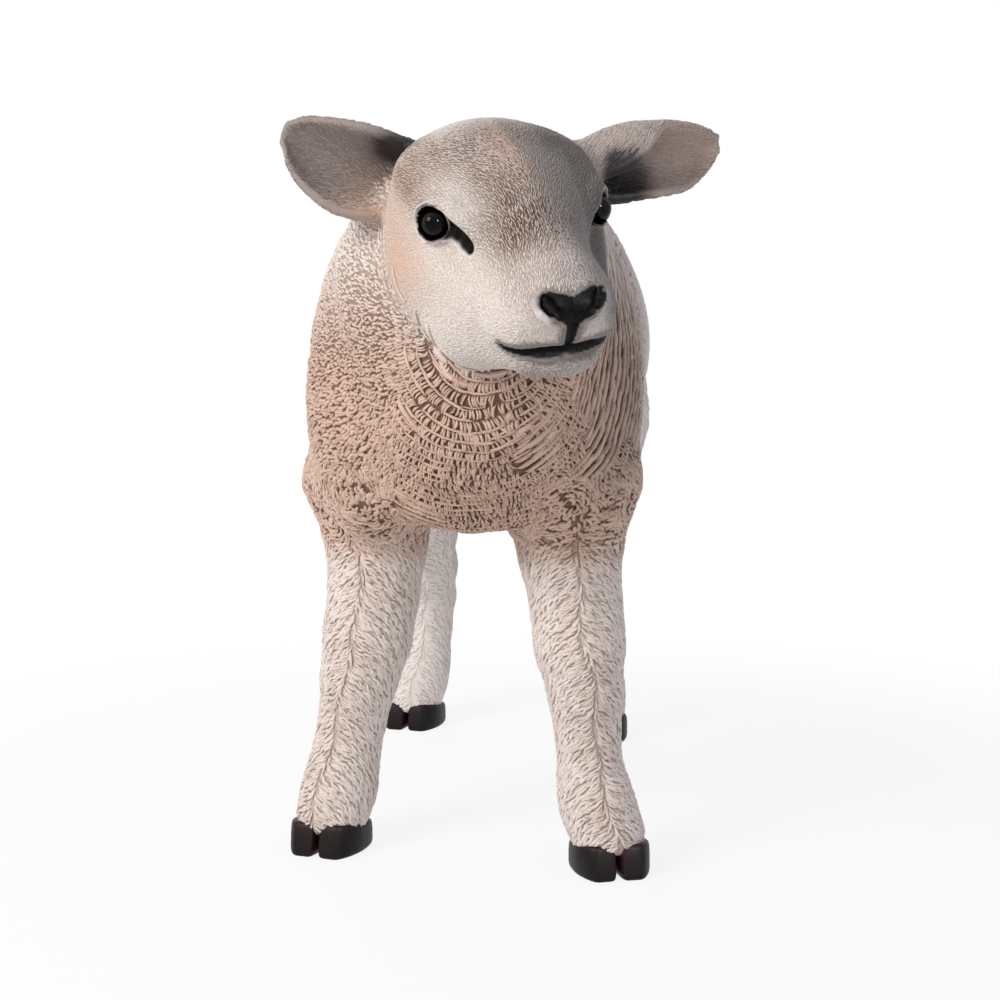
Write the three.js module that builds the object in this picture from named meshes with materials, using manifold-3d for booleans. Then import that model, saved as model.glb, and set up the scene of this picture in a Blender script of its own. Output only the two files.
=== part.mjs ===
// Standing lamb statue, life size, in cast and painted resin. Millimetres, +Z up, soles on Z = 0.
// The lamb faces -Y with its head turned to its own left (+X). It is cast in sections that are named
// for the parts of the body and bonded together, with painted claws and glossy eyes set in.
import * as THREE from 'three';
import { mergeVertices } from 'three/addons/utils/BufferGeometryUtils.js';
import Module from 'manifold-3d';

const wasm = await Module();
wasm.setup();

// ---------------------------------------------------------------- driving dimensions
const GAP = 0.3; // bond line between neighbouring sections
const LEG_FILLET = 9; // how far a leg section spreads up the swelling where it joins the trunk
const TRUNK_MIDDLE_X = 6; // the trunk leans this far toward the head's side
const BACK_NARROWING = 0.075; // the back is this much narrower than the middle of the side

// trunk stations: along the body, half width, top, bottom
const TRUNK = [
  [-70, 40, 340, 262], [-30, 84, 404, 228], [20, 98, 434, 223], [80, 106, 448, 221],
  [150, 109, 448, 220], [220, 110, 443, 224], [290, 105, 442, 236], [335, 84, 420, 262],
];
const RUMP = { at: [TRUNK_MIDDLE_X, 318, 346], radii: [95, 82, 94] };
const SHOULDER = { middle: 5, spread: 61, at: [18, 280], radii: [40, 58, 74] };
const HAUNCH = { middle: 3, spread: 60, at: [310, 292], radii: [49, 74, 80] };

// joints of round limbs: x, y, z, radius; a foot's splay is how far its toes turn out, in degrees
const NECK = [[4, 60, 350, 86], [8, 15, 356, 82], [18, -35, 362, 70], [27, -72, 380, 54]];
const THROAT = [[30, -76, 350, 46], [18, -54, 306, 56], [8, -25, 278, 54]];
const RUFF = { at: [8, -60, 368], radii: [76, 44, 72] };
const TAIL = [[6, 370, 398, 17], [6, 386, 372, 21], [6, 392, 335, 22], [6, 391, 298, 19], [6, 386, 266, 13]];
const LEGS = {
  front_right: {
    joints: [[-62, 45, 240, 45], [-60, 44, 200, 30], [-62, 42, 168, 27], [-66, 40, 140, 26.4],
      [-72, 41, 112, 22.6], [-77, 46, 85, 19.6], [-82, 47, 60, 19.8], [-85.5, 44, 40, 22],
      [-90, 40, 24, 23.4]],
    swellings: [{ at: [-60, 53, 208], radii: [28, 34, 40] }],
    foot: { at: [-91, 42], splay: 15.5 },
  },
  front_left: {
    joints: [[64, 16, 240, 45], [65.5, 14, 200, 29.5], [69.5, 10, 168, 26.4], [72, 8, 142, 25.8],
      [75.5, 9, 112, 21], [77, 13, 87, 18.3], [79, 14, 60, 18.6], [83, 10, 42, 21.3], [90, 8, 24, 23.4]],
    swellings: [{ at: [64, 24, 208], radii: [28, 34, 40] }],
    foot: { at: [91, 10], splay: 15.5 },
  },
  hind_right: {
    joints: [[-64, 308, 262, 52], [-66, 304, 215, 40], [-66, 326, 175, 30], [-63, 352, 140, 24],
      [-62, 370, 112, 20], [-65, 377, 84, 19], [-69, 380, 58, 21], [-73, 378, 40, 23], [-76, 376, 24, 23.4]],
    swellings: [
      { at: [-66, 294, 210], radii: [34, 40, 46] }, { at: [-64, 336, 236], radii: [36, 38, 52] },
      { at: [-64, 374, 138], radii: [15, 17, 22] },
    ],
    foot: { at: [-76, 378], splay: 11.5 },
  },
  hind_left: {
    joints: [[66, 278, 262, 52], [64, 274, 215, 41], [60, 296, 175, 31], [60, 322, 140, 24.5],
      [62, 340, 112, 20], [66, 347, 84, 19], [72, 350, 58, 21], [76, 348, 40, 23], [78, 344, 24, 23.4]],
    swellings: [
      { at: [64, 264, 210], radii: [34, 40, 46] }, { at: [64, 308, 236], radii: [36, 38, 52] },
      { at: [62, 344, 138], radii: [15, 17, 22] },
    ],
    foot: { at: [78, 346], splay: 11.5 },
  },
};

// the head's own frame: +X to the nose, +Y to the lamb's left, +Z out of the crown
const HEAD_MIDDLE = new THREE.Vector3(38.8, -123.4, 396.8);
const HEAD_TURN = 26; // degrees to the lamb's left
const HEAD_DROP = 29; // degrees the nose points down
const HEAD_TILT = 6.5; // degrees the left side is carried higher
const EYE = { at: [2, 45.2, 5.8], radius: 8.8 };
const LIDS = { at: [5.6, 52, 8.6], radii: [10, 11, 9.4] }; // the opening between the lids
// Every mass of the face is on both sides of it, and `fillet` is how widely it runs into the others:
// skull, forehead, bridge of the nose, muzzle, cheek, side of the face, jaw, front of the jaw,
// chin, upper lip, brow, wing of the nose and root of the ear.
const FACE = [
  { at: [-40, 0, 0], radii: [46, 54, 38], fillet: 1 },
  { at: [-10, 0, 7], radii: [46, 45, 28], fillet: 18 },
  { joints: [[2, 0, 0, 33], [60, 0, -8, 25]], fillet: 14 },
  { at: [63, 0, -14], radii: [26, 32, 22], fillet: 12 },
  { at: [-24, 31, -30], radii: [44, 30, 38], fillet: 18 },
  { at: [12, 21, -26], radii: [46, 26, 27], fillet: 14 },
  { joints: [[-22, 27, -46, 24], [20, 24, -48, 20]], fillet: 14 },
  { joints: [[20, 23, -48, 20], [66, 11, -38, 12]], fillet: 14 },
  { at: [72, 0, -37], radii: [16, 22, 11], fillet: 8 },
  { at: [60, 18, -23], radii: [20, 14.5, 14], fillet: 8 },
  { at: [-9, 41, 11], radii: [23, 11, 9], fillet: 13 },
  { at: [81, 9, -3], radii: [11, 12, 9], fillet: 8 },
  { at: [-36, 31, 13], radii: [22, 22, 14], fillet: 12 },
];

// ears: fraction of the length, top rim (up, out), bottom rim (up, out), bow of the back
const EARS = {
  right: {
    base: [-26, -86, 424], tip: [-84, -114, 446], up: [0.3, 0, 1],
    stations: [[0, 17, 0, -22, 4, 20], [0.25, 18, 5, -27.5, 8, 21], [0.5, 17, 4, -29, 7, 17],
      [0.75, 13.5, 0, -23.5, 3, 11], [0.9, 10, -3, -16, 0, 6], [1, 5, -5, -6, -3, 2]],
  },
  left: {
    base: [76, -60, 431], tip: [154, -16, 443], up: [-0.1, 0, 1],
    stations: [[0, -6, 10, -16, -2, 25], [0.2, -1, 19, -19, 0, 31], [0.35, 9, 21, -19, 2, 28],
      [0.5, 17, 13, -19, 2, 21], [0.7, 17, 4, -17.5, 0, 11], [0.87, 14, -1, -9.5, -2, 6],
      [1, 9, -4, 1, -4, 2]],
  },
};
const EAR_HALF_THICKNESS = 2.3;
const EAR_ROOT_THICKENING = 2.2;

const CLAW = {
  halfLength: 23.5, halfWidth: 12.1, cleft: 0.4, toeHeight: 22, heelHeight: 15, lean: 4,
  soleInset: 2, wallInset: 0.4, topInset: 1.2, toeNarrowing: 0.25, squareness: 0.84, innerSquareness: 0.15,
};
// height fraction, inset: the rounded sole edge, the wall and the coronet
const CLAW_LEVELS = [[0, CLAW.soleInset], [0.1, CLAW.wallInset], [0.55, 0], [1, CLAW.topInset]];
const CLAW_SIDES = 16;

// how finely each section is faceted: rings along it, rings in each rounded end, sides round it
const FACETS = {
  torso: { rings: 21, endRings: 4, sides: 30 },
  head: { rings: 14, endRings: 5, sides: 26 },
  tail: { rings: 8, endRings: 2, sides: 10 },
  leg: { rings: 15, endRings: 2, sides: 14 },
  ear: { rings: 9, sides: 8 },
  eye: { round: 14, tall: 8 },
};

const TORSO_SPINE = [[7, 325, 345], [7, 150, 335], [7, 30, 335], [10, -25, 346], [18, -68, 366]];
const HEAD_SPINE = [[-46, 0, -4], [0, 0, -12], [40, 0, -16], [70, 0, -18]];
const NECK_CUT = { at: [8, 0, 350], toward: [0.08, -0.93, 0.35] };

const COLOURS = {
  face: '#e4ddd2', wool: '#d8c3ab', fleece: '#e6dfd5', leg: '#e0d6c8', ear: '#b3a69b',
  eye: '#14100e', claw: '#1b1817',
};
const MATT = 0.6; // roughness of the brushed paint, of the claws and of the eyes
const SATIN = 0.4;
const GLOSSY = 0.08;

// ---------------------------------------------------------------- forms: signed distance, below zero inside
const { clamp, degToRad, lerp } = THREE.MathUtils;
const FAR = 1e3; // further than any two points of the lamb

// how widely neighbouring masses run into one another
const FILLET = {
  rump: 24, shoulder: 25, neckJoint: 20, throat: 25, ruff: 26, neckToTrunk: 30, legJoint: 12,
  swelling: 10, legToTrunk: 14, tailJoint: 8,
};

function blend(a, b, k) {
  const h = clamp(0.5 + (0.5 * (b - a)) / k, 0, 1);
  return b + (a - b) * h - k * h * (1 - h);
}

function lump(p, at, radii) {
  const q = p.map((v, i) => (v - at[i]) / radii[i]);
  const near = Math.hypot(...q);
  const slope = Math.hypot(...q.map((v, i) => v / radii[i])) + 1e-9;
  return (near * (near - 1)) / slope;
}

function bone(p, a, b) {
  const along = [0, 1, 2].map((i) => b[i] - a[i]);
  const span = along.reduce((sum, v) => sum + v * v, 0);
  const t = clamp(along.reduce((sum, v, i) => sum + v * (p[i] - a[i]), 0) / span, 0, 1);
  return Math.hypot(...along.map((v, i) => p[i] - a[i] - t * v)) - lerp(a[3], b[3], t);
}

function limb(p, joints, k) {
  let d = bone(p, joints[0], joints[1]);
  for (let i = 2; i < joints.length; i += 1) d = blend(d, bone(p, joints[i - 1], joints[i]), k);
  return d;
}

// smooth value at x through stations whose first entry is x and whose entry `column` is the value
function through(stations, column, x) {
  const last = stations.length - 1;
  const slope = (i, j) => (stations[j][column] - stations[i][column]) / (stations[j][0] - stations[i][0]);
  let i = 0;
  while (i < last - 1 && x > stations[i + 1][0]) i += 1;
  const step = stations[i + 1][0] - stations[i][0];
  const t = clamp((x - stations[i][0]) / step, 0, 1);
  const before = slope(Math.max(i - 1, 0), i + 1) * step;
  const after = slope(i, Math.min(i + 2, last)) * step;
  const t2 = t * t;
  const t3 = t2 * t;
  return (2 * t3 - 3 * t2 + 1) * stations[i][column] + (t3 - 2 * t2 + t) * before
    + (3 * t2 - 2 * t3) * stations[i + 1][column] + (t3 - t2) * after;
}

function barrel(p) {
  const [front, back] = [TRUNK[0][0], TRUNK[TRUNK.length - 1][0]];
  const y = clamp(p[1], front, back);
  const [half, top, bottom] = [1, 2, 3].map((column) => through(TRUNK, column, y));
  const rise = (top - bottom) / 2;
  const lift = (p[2] - (top + bottom) / 2) / rise;
  const width = half * (1 - BACK_NARROWING * clamp(lift, -1, 1));
  const d = (Math.hypot((p[0] - TRUNK_MIDDLE_X) / width, lift) - 1) * Math.min(half, rise);
  const past = Math.max(front - p[1], p[1] - back);
  return past > 0 ? Math.hypot(Math.max(d, 0), past) : d;
}

// trunk, shoulders, haunches and neck as one flowing body
function body(p) {
  let d = blend(barrel(p), lump(p, RUMP.at, RUMP.radii), FILLET.rump);
  for (const side of [-1, 1]) {
    for (const { middle, spread, at, radii } of [SHOULDER, HAUNCH]) {
      d = blend(d, lump(p, [middle + side * spread, ...at], radii), FILLET.shoulder);
    }
  }
  const gullet = limb(p, THROAT, FILLET.neckJoint);
  const throat = blend(limb(p, NECK, FILLET.neckJoint), gullet, FILLET.throat);
  return blend(d, blend(throat, lump(p, RUFF.at, RUFF.radii), FILLET.ruff), FILLET.neckToTrunk);
}

function bareLeg(p, { joints, swellings }) {
  const bones = limb(p, joints, FILLET.legJoint);
  return swellings.reduce((d, { at, radii }) => blend(d, lump(p, at, radii), FILLET.swelling), bones);
}

// a leg with the fillet that runs up into the trunk
function leg(p, shape) {
  const bare = bareLeg(p, shape);
  return Math.max(blend(body(p), bare, FILLET.legToTrunk), bare - LEG_FILLET);
}

// the head in its own frame
function head([x, y, z]) {
  const p = [x, Math.abs(y), z];
  const form = ({ joints, at, radii }) => (joints ? bone(p, ...joints) : lump(p, at, radii));
  return FACE.reduce((d, mass) => blend(d, form(mass), mass.fillet), FAR);
}

const tail = (p) => limb(p, TAIL, FILLET.tailJoint);

// ---------------------------------------------------------------- closed meshes
const REACH_STRIDE = 3; // a stride out from a spine, small beside any hollow of a form
const REACH_HALVINGS = 14; // how often the last stride is halved to close in on the surface
const MOSTLY_SIDEWAYS = 0.7; // a spine that runs this far along X takes its rings' start from Y
const INNERMOST = 0.2; // the bowl of an ear is never closer than this to the middle of its arc

const vector = (values) => new THREE.Vector3(...values);

// A closed skin over rings of an even number of points, with a flat strip across each end.
function skinOver(rings) {
  const sides = rings[0].length;
  const last = rings.length - 1;
  const index = [];
  const at = (ring, side) => ring * sides + ((side + sides) % sides);
  for (let ring = 0; ring < last; ring += 1) {
    for (let side = 0; side < sides; side += 1) {
      const [a, b] = [at(ring, side), at(ring, side + 1)];
      const [c, d] = [at(ring + 1, side), at(ring + 1, side + 1)];
      index.push(a, b, d, a, d, c);
    }
  }
  for (let side = 0; side < sides / 2; side += 1) {
    const [a, b, c, d] = [side, side + 1, -side - 1, -side];
    for (const [i, j, k] of [[a, b, c], [a, c, d]]) {
      if (at(0, i) === at(0, j) || at(0, j) === at(0, k) || at(0, k) === at(0, i)) continue;
      index.push(at(0, k), at(0, j), at(0, i), at(last, i), at(last, j), at(last, k));
    }
  }
  const geometry = new THREE.BufferGeometry().setFromPoints(rings.flat());
  geometry.setIndex(index);
  return geometry;
}

// How far from a point inside a form its surface lies; `grow` moves the surface outward.
function reach(form, from, way, grow) {
  const value = (t) => form([from.x + way.x * t, from.y + way.y * t, from.z + way.z * t]) - grow;
  let far = REACH_STRIDE;
  while (value(far) < 0) far += REACH_STRIDE;
  let near = far - REACH_STRIDE;
  for (let halving = 0; halving < REACH_HALVINGS; halving += 1) {
    const middle = (near + far) / 2;
    if (value(middle) < 0) near = middle;
    else far = middle;
  }
  return far;
}

// A skin stretched over a form: rings sent out from a spine, with a fan of rings over each end.
// The rings lie square to the spine, or to `axis` where one is given.
function wrap(form, spine, { rings, endRings, sides }, grow = 0, axis = null) {
  const curve = new THREE.CatmullRomCurve3(spine.map(vector));
  const across = new THREE.Vector3(1, 0, 0);
  const fan = (k) => (Math.PI / 2) * (k / (endRings + 0.5));
  const ring = (t, tilt) => {
    const [from, along] = [curve.getPointAt(t), axis ?? curve.getTangentAt(t)];
    const side = Math.abs(along.x) > MOSTLY_SIDEWAYS ? new THREE.Vector3(0, 1, 0) : across;
    const right = side.clone().addScaledVector(along, -side.dot(along)).normalize();
    const over = new THREE.Vector3().crossVectors(along, right);
    return Array.from({ length: sides }, (_, i) => {
      const turn = (2 * Math.PI * i) / sides;
      const way = right.clone().multiplyScalar(Math.cos(turn)).addScaledVector(over, Math.sin(turn));
      way.multiplyScalar(Math.cos(tilt)).addScaledVector(along, Math.sin(tilt));
      return from.clone().addScaledVector(way, reach(form, from, way, grow));
    });
  };
  const stack = [];
  for (let k = endRings; k > 0; k -= 1) stack.push(ring(0, -fan(k)));
  for (let i = 0; i < rings; i += 1) stack.push(ring(i / (rings - 1), 0));
  for (let k = 1; k <= endRings; k += 1) stack.push(ring(1, fan(k)));
  return skinOver(stack);
}

function solid(geometry) {
  return new wasm.Manifold(new wasm.Mesh({
    numProp: 3,
    vertProperties: new Float32Array(geometry.getAttribute('position').array),
    triVerts: new Uint32Array(geometry.index.array),
  }));
}

// the geometry of a cut section, without the specks that a grazing cut leaves behind
function geometryOf(manifold) {
  const [largest] = manifold.decompose().sort((a, b) => b.volume() - a.volume());
  const { vertProperties, triVerts } = largest.getMesh();
  const geometry = new THREE.BufferGeometry();
  geometry.setAttribute('position', new THREE.BufferAttribute(vertProperties, 3));
  geometry.setIndex(new THREE.BufferAttribute(triVerts, 1));
  geometry.computeVertexNormals();
  return geometry;
}

// a ready-made geometry with its shared corners merged
function welded(geometry) {
  geometry.deleteAttribute('normal');
  geometry.deleteAttribute('uv');
  return mergeVertices(geometry);
}

// everything on the far side of a plane through `at`, in the direction of `toward`
function beyond(at, toward) {
  const turn = new THREE.Quaternion().setFromUnitVectors(new THREE.Vector3(0, 0, 1), toward);
  const block = new THREE.BoxGeometry(FAR, FAR, FAR).translate(0, 0, FAR / 2);
  return solid(welded(block.applyQuaternion(turn).translate(at.x, at.y, at.z)));
}

// ---------------------------------------------------------------- sections of the casting
function torsoSolid() {
  return solid(wrap(body, TORSO_SPINE, FACETS.torso));
}

function headFrame() {
  const [turn, drop, tilt] = [HEAD_TURN, HEAD_DROP, HEAD_TILT].map(degToRad);
  const nose = vector([Math.sin(turn) * Math.cos(drop), -Math.cos(turn) * Math.cos(drop), -Math.sin(drop)]);
  const level = vector([Math.cos(turn), Math.sin(turn), 0]);
  const crown = new THREE.Vector3().crossVectors(nose, level);
  const left = level.clone().multiplyScalar(Math.cos(tilt)).addScaledVector(crown, Math.sin(tilt));
  crown.multiplyScalar(Math.cos(tilt)).addScaledVector(level, -Math.sin(tilt));
  return new THREE.Matrix4().makeBasis(nose, left, crown).setPosition(HEAD_MIDDLE);
}

function headSolid(frame, grow = 0) {
  return solid(wrap(head, HEAD_SPINE, FACETS.head, grow).applyMatrix4(frame));
}

function eyeSolid(frame, side, grow = 0) {
  const ball = welded(new THREE.SphereGeometry(EYE.radius + grow, FACETS.eye.round, FACETS.eye.tall));
  const [x, y, z] = EYE.at;
  return solid(ball.translate(x, side * y, z).applyMatrix4(frame));
}

// A cupped leaf: each ring follows the arc of the back out and the arc of the bowl home.
function earSolid({ base, tip, up, stations }, grow = 0) {
  const [from, along] = [vector(base), vector(tip).sub(vector(base))];
  const span = along.length();
  along.normalize();
  const rise = vector(up).addScaledVector(along, -vector(up).dot(along)).normalize();
  const out = new THREE.Vector3().crossVectors(rise, along);
  if (out.y > 0) out.negate();
  const ring = (x) => {
    const [topUp, topOut, lowUp, lowOut, bow] = [1, 2, 3, 4, 5].map((c) => through(stations, c, x));
    const [chordUp, chordOut] = [(topUp - lowUp) / 2, (topOut - lowOut) / 2];
    const half = Math.hypot(chordUp, chordOut);
    const radius = (half * half + bow * bow) / (2 * bow);
    const sweep = Math.atan2(half, radius - bow);
    const [stepUp, stepOut] = [chordUp / half, chordOut / half];
    const setBack = bow - radius;
    const centreUp = (topUp + lowUp) / 2 + stepOut * setBack;
    const centreOut = (topOut + lowOut) / 2 - stepUp * setBack;
    const thick = EAR_HALF_THICKNESS + EAR_ROOT_THICKENING * (1 - x) ** 2 + grow;
    const point = (angle, r) => {
      const [a, b] = [Math.sin(angle) * r, Math.cos(angle) * r];
      return from.clone().addScaledVector(along, x * span)
        .addScaledVector(rise, centreUp + a * stepUp + b * stepOut)
        .addScaledVector(out, centreOut + a * stepOut - b * stepUp);
    };
    const arc = (r, sign) => Array.from({ length: FACETS.ear.sides }, (_, i) => (
      point(sign * lerp(-sweep, sweep, i / (FACETS.ear.sides - 1)), r)));
    const rim = thick / radius;
    return [point(-sweep - rim, radius), ...arc(radius + thick, 1),
      point(sweep + rim, radius), ...arc(Math.max(radius - thick, INNERMOST), -1)];
  };
  const rings = Array.from({ length: FACETS.ear.rings }, (_, i) => ring(i / (FACETS.ear.rings - 1)));
  const facesOut = out.dot(new THREE.Vector3().crossVectors(along, rise)) > 0;
  return solid(skinOver(facesOut ? rings : rings.reverse()));
}

const coronetSlope = (CLAW.toeHeight - CLAW.heelHeight) / (2 * CLAW.halfLength);
const coronetHeight = (back) => CLAW.toeHeight - coronetSlope * (back + CLAW.halfLength);

// from a foot's own left and back, with its toes turned out, to the lamb's
function splayed({ at: [x, y], splay }, left, back) {
  const [cos, sin] = [Math.cos(degToRad(splay)), Math.sign(x) * Math.sin(degToRad(splay))];
  return [x + left * cos - back * sin, y + back * cos + left * sin];
}

// One claw of a foot; side is +1 for the claw on the lamb's left of the cleft.
function clawGeometry(foot, side) {
  const power = (value, exponent) => Math.sign(value) * Math.abs(value) ** exponent;
  const ring = ([level, inset]) => Array.from({ length: CLAW_SIDES }, (_, i) => {
    const turn = (side * 2 * Math.PI * i) / CLAW_SIDES;
    const [outward, back] = [Math.cos(turn), Math.sin(turn)];
    const toe = Math.max(-back, 0) ** 2;
    const width = (CLAW.halfWidth - inset) * (1 - (outward > 0 ? CLAW.toeNarrowing * toe : 0));
    const a = width * power(outward, outward > 0 ? CLAW.squareness : CLAW.innerSquareness);
    const b = (CLAW.halfLength - inset) * power(back, CLAW.squareness);
    const left = side * (CLAW.cleft + CLAW.halfWidth + a);
    const place = splayed(foot, left, b - CLAW.lean * (1 - level) * toe);
    return vector([...place, level * coronetHeight(b)]);
  });
  return skinOver(CLAW_LEVELS.map(ring));
}

function lidSolid(frame, side) {
  const hollow = welded(new THREE.SphereGeometry(1, FACETS.eye.round, FACETS.eye.tall));
  const [x, y, z] = LIDS.at;
  return solid(hollow.scale(...LIDS.radii).translate(x, side * y, z).applyMatrix4(frame));
}

function legSolid(shape, grow = 0) {
  const spine = shape.joints.map((joint) => joint.slice(0, 3));
  const down = new THREE.Vector3(0, 0, -1);
  const whole = solid(wrap((p) => leg(p, shape), spine, FACETS.leg, grow, down));
  const { at, splay } = shape.foot;
  const coronet = vector([...at, coronetHeight(0) + GAP - grow]);
  const [tiltX, tiltY] = splayed({ at: [Math.sign(at[0]), 0], splay }, 0, coronetSlope);
  const up = vector([tiltX - Math.sign(at[0]), tiltY, 1]).normalize();
  return whole.subtract(beyond(coronet, up.negate()));
}

const tailSolid = (grow = 0) => solid(wrap(tail, TAIL.map((joint) => joint.slice(0, 3)), FACETS.tail, grow));

// ---------------------------------------------------------------- the lamb
const lamb = new THREE.Group();

function add(name, geometry, color, roughness = MATT) {
  const mesh = new THREE.Mesh(geometry, new THREE.MeshStandardMaterial({ color, roughness, metalness: 0 }));
  mesh.name = name;
  lamb.add(mesh);
}

// the room a section takes in its neighbours: itself and the bond line round it
const room = (make) => make(GAP).add(make(0));

const frame = headFrame();
const headRoom = room((grow) => headSolid(frame, grow));
const sides = { left: 1, right: -1 };

let headPart = headSolid(frame);
for (const [name, side] of Object.entries(sides)) {
  headPart = headPart.subtract(room((grow) => eyeSolid(frame, side, grow)));
  headPart = headPart.subtract(lidSolid(frame, side));
  add(`eye_${name}`, geometryOf(eyeSolid(frame, side)), COLOURS.eye, GLOSSY);
  add(`ear_${name}`, geometryOf(earSolid(EARS[name]).subtract(headRoom)), COLOURS.ear);
}
add('head', geometryOf(headPart), COLOURS.face);

const cut = { at: vector(NECK_CUT.at), toward: vector(NECK_CUT.toward).normalize() };
const halfGap = cut.toward.clone().multiplyScalar(GAP / 2);
const torso = torsoSolid();
let neckPart = torso.intersect(beyond(cut.at.clone().add(halfGap), cut.toward)).subtract(headRoom);
let trunkPart = torso.intersect(beyond(cut.at.clone().sub(halfGap), cut.toward.clone().negate()));
for (const ear of Object.values(EARS)) neckPart = neckPart.subtract(room((grow) => earSolid(ear, grow)));
trunkPart = trunkPart.subtract(room(tailSolid));
for (const [name, shape] of Object.entries(LEGS)) {
  const socket = room((grow) => legSolid(shape, grow));
  neckPart = neckPart.subtract(socket);
  trunkPart = trunkPart.subtract(socket);
  add(`leg_${name}`, geometryOf(legSolid(shape)), COLOURS.leg);
  for (const side of [-1, 1]) {
    const place = Math.sign(shape.foot.at[0]) === side ? 'outer' : 'inner';
    add(`claw_${name}_${place}`, clawGeometry(shape.foot, side), COLOURS.claw, SATIN);
  }
}
add('neck', geometryOf(neckPart), COLOURS.wool);
add('trunk', geometryOf(trunkPart), COLOURS.fleece);
add('tail', geometryOf(tailSolid()), COLOURS.fleece);

// stand the lamb over the middle of its own footprint
const box = new THREE.Box3().setFromObject(lamb);
const middle = box.getCenter(new THREE.Vector3());
lamb.position.set(-middle.x, -middle.y, -box.min.z);

export default lamb;
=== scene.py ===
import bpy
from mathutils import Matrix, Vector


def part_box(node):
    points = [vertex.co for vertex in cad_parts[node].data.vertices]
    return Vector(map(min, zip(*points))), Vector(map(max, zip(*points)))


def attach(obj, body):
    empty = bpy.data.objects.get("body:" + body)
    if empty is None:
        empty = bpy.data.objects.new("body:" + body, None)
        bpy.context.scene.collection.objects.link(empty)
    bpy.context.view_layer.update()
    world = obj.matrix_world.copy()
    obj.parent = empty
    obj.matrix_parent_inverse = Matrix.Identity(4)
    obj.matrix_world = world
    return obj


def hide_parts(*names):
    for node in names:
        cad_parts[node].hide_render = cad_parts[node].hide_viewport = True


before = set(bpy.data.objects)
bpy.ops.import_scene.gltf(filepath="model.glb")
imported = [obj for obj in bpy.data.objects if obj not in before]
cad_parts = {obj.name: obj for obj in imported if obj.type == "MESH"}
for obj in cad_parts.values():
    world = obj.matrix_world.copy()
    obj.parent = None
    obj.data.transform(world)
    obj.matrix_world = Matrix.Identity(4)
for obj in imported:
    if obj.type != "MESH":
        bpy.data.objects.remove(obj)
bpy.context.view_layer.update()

import math

import bmesh
import bpy
import numpy as np
from mathutils import Vector
from mathutils.kdtree import KDTree

# A painted cast-resin statue of a lamb. The modeller's frame is in millimetres: the origin is on the
# floor between the front toes, +x is the lamb's own left, it faces -y, and +z is up.

# ---------------------------------------------------------------- sizes
FAR = 60.0                      # a distance too great to matter where two forms are blended

# trunk stations: distance back, half width, top and bottom height
TRUNK = [(-70, 40, 340, 262), (-30, 84, 404, 228), (20, 98, 434, 223), (80, 106, 448, 221),
         (150, 109, 448, 220), (220, 110, 443, 224), (290, 105, 442, 236), (335, 84, 420, 262)]
TRUNK_MIDDLE = 6                # the trunk's middle lies this far to the lamb's left
BACK_NARROWING = 0.075          # how much narrower the back is than the belly
RUMP = ((6, 318, 346), (95, 82, 94))
# shoulders and haunches: how far left the pair's middle lies, each one's place (out, back, up) and radii
SHOULDER = (5, (61, 18, 280), (40, 58, 74))
HAUNCH = (3, (60, 310, 292), (49, 74, 80))

# limbs as joints: x, y, z, radius; a foot's splay is how far its toes turn out, in degrees
NECK = [(4, 60, 350, 86), (8, 15, 356, 82), (18, -35, 362, 70), (27, -72, 380, 54)]
THROAT = [(30, -76, 350, 46), (18, -54, 306, 56), (8, -25, 278, 54)]
RUFF = ((8, -60, 368), (76, 44, 72))
TAIL = [(6, 370, 398, 17), (6, 386, 372, 21), (6, 392, 335, 22), (6, 391, 298, 19), (6, 386, 266, 13)]
LEGS = {
    "front_right": dict(foot=(-91, 42), splay=15.5, joints=[
        (-62, 45, 240, 45), (-60, 44, 200, 30), (-62, 42, 168, 27), (-66, 40, 140, 26.4),
        (-72, 41, 112, 22.6), (-77, 46, 85, 19.6), (-82, 47, 60, 19.8), (-85.5, 44, 40, 22),
        (-90, 40, 24, 23.4)],
        swellings=[((-60, 53, 208), (28, 34, 40))]),
    "front_left": dict(foot=(91, 10), splay=15.5, joints=[
        (64, 16, 240, 45), (65.5, 14, 200, 29.5), (69.5, 10, 168, 26.4), (72, 8, 142, 25.8),
        (75.5, 9, 112, 21), (77, 13, 87, 18.3), (79, 14, 60, 18.6), (83, 10, 42, 21.3),
        (90, 8, 24, 23.4)],
        swellings=[((64, 24, 208), (28, 34, 40))]),
    "hind_right": dict(foot=(-76, 378), splay=11.5, joints=[
        (-64, 308, 262, 52), (-66, 304, 215, 40), (-66, 326, 175, 30), (-63, 352, 140, 24),
        (-62, 370, 112, 20), (-65, 377, 84, 19), (-69, 380, 58, 21), (-73, 378, 40, 23),
        (-76, 376, 24, 23.4)],
        swellings=[((-66, 294, 210), (34, 40, 46)), ((-64, 336, 236), (36, 38, 52)),
                   ((-64, 374, 138), (15, 17, 22))]),
    "hind_left": dict(foot=(78, 346), splay=11.5, joints=[
        (66, 278, 262, 52), (64, 274, 215, 41), (60, 296, 175, 31), (60, 322, 140, 24.5),
        (62, 340, 112, 20), (66, 347, 84, 19), (72, 350, 58, 21), (76, 348, 40, 23), (78, 344, 24, 23.4)],
        swellings=[((64, 264, 210), (34, 40, 46)), ((64, 308, 236), (36, 38, 52)),
                   ((62, 344, 138), (15, 17, 22))]),
}
SOLE_CUT = 13                   # the leg ends inside its claws at this height

# the head's own frame: u forward to the nose, v out to the lamb's left, w up through the crown
HEAD_MIDDLE = (38.8, -123.4, 396.8)
HEAD_TURN, HEAD_DROP, HEAD_TILT = 26.0, 29.0, 6.5
EYE_AT, EYE_RADIUS = (2.0, 45.2, 5.8), 8.8

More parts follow.
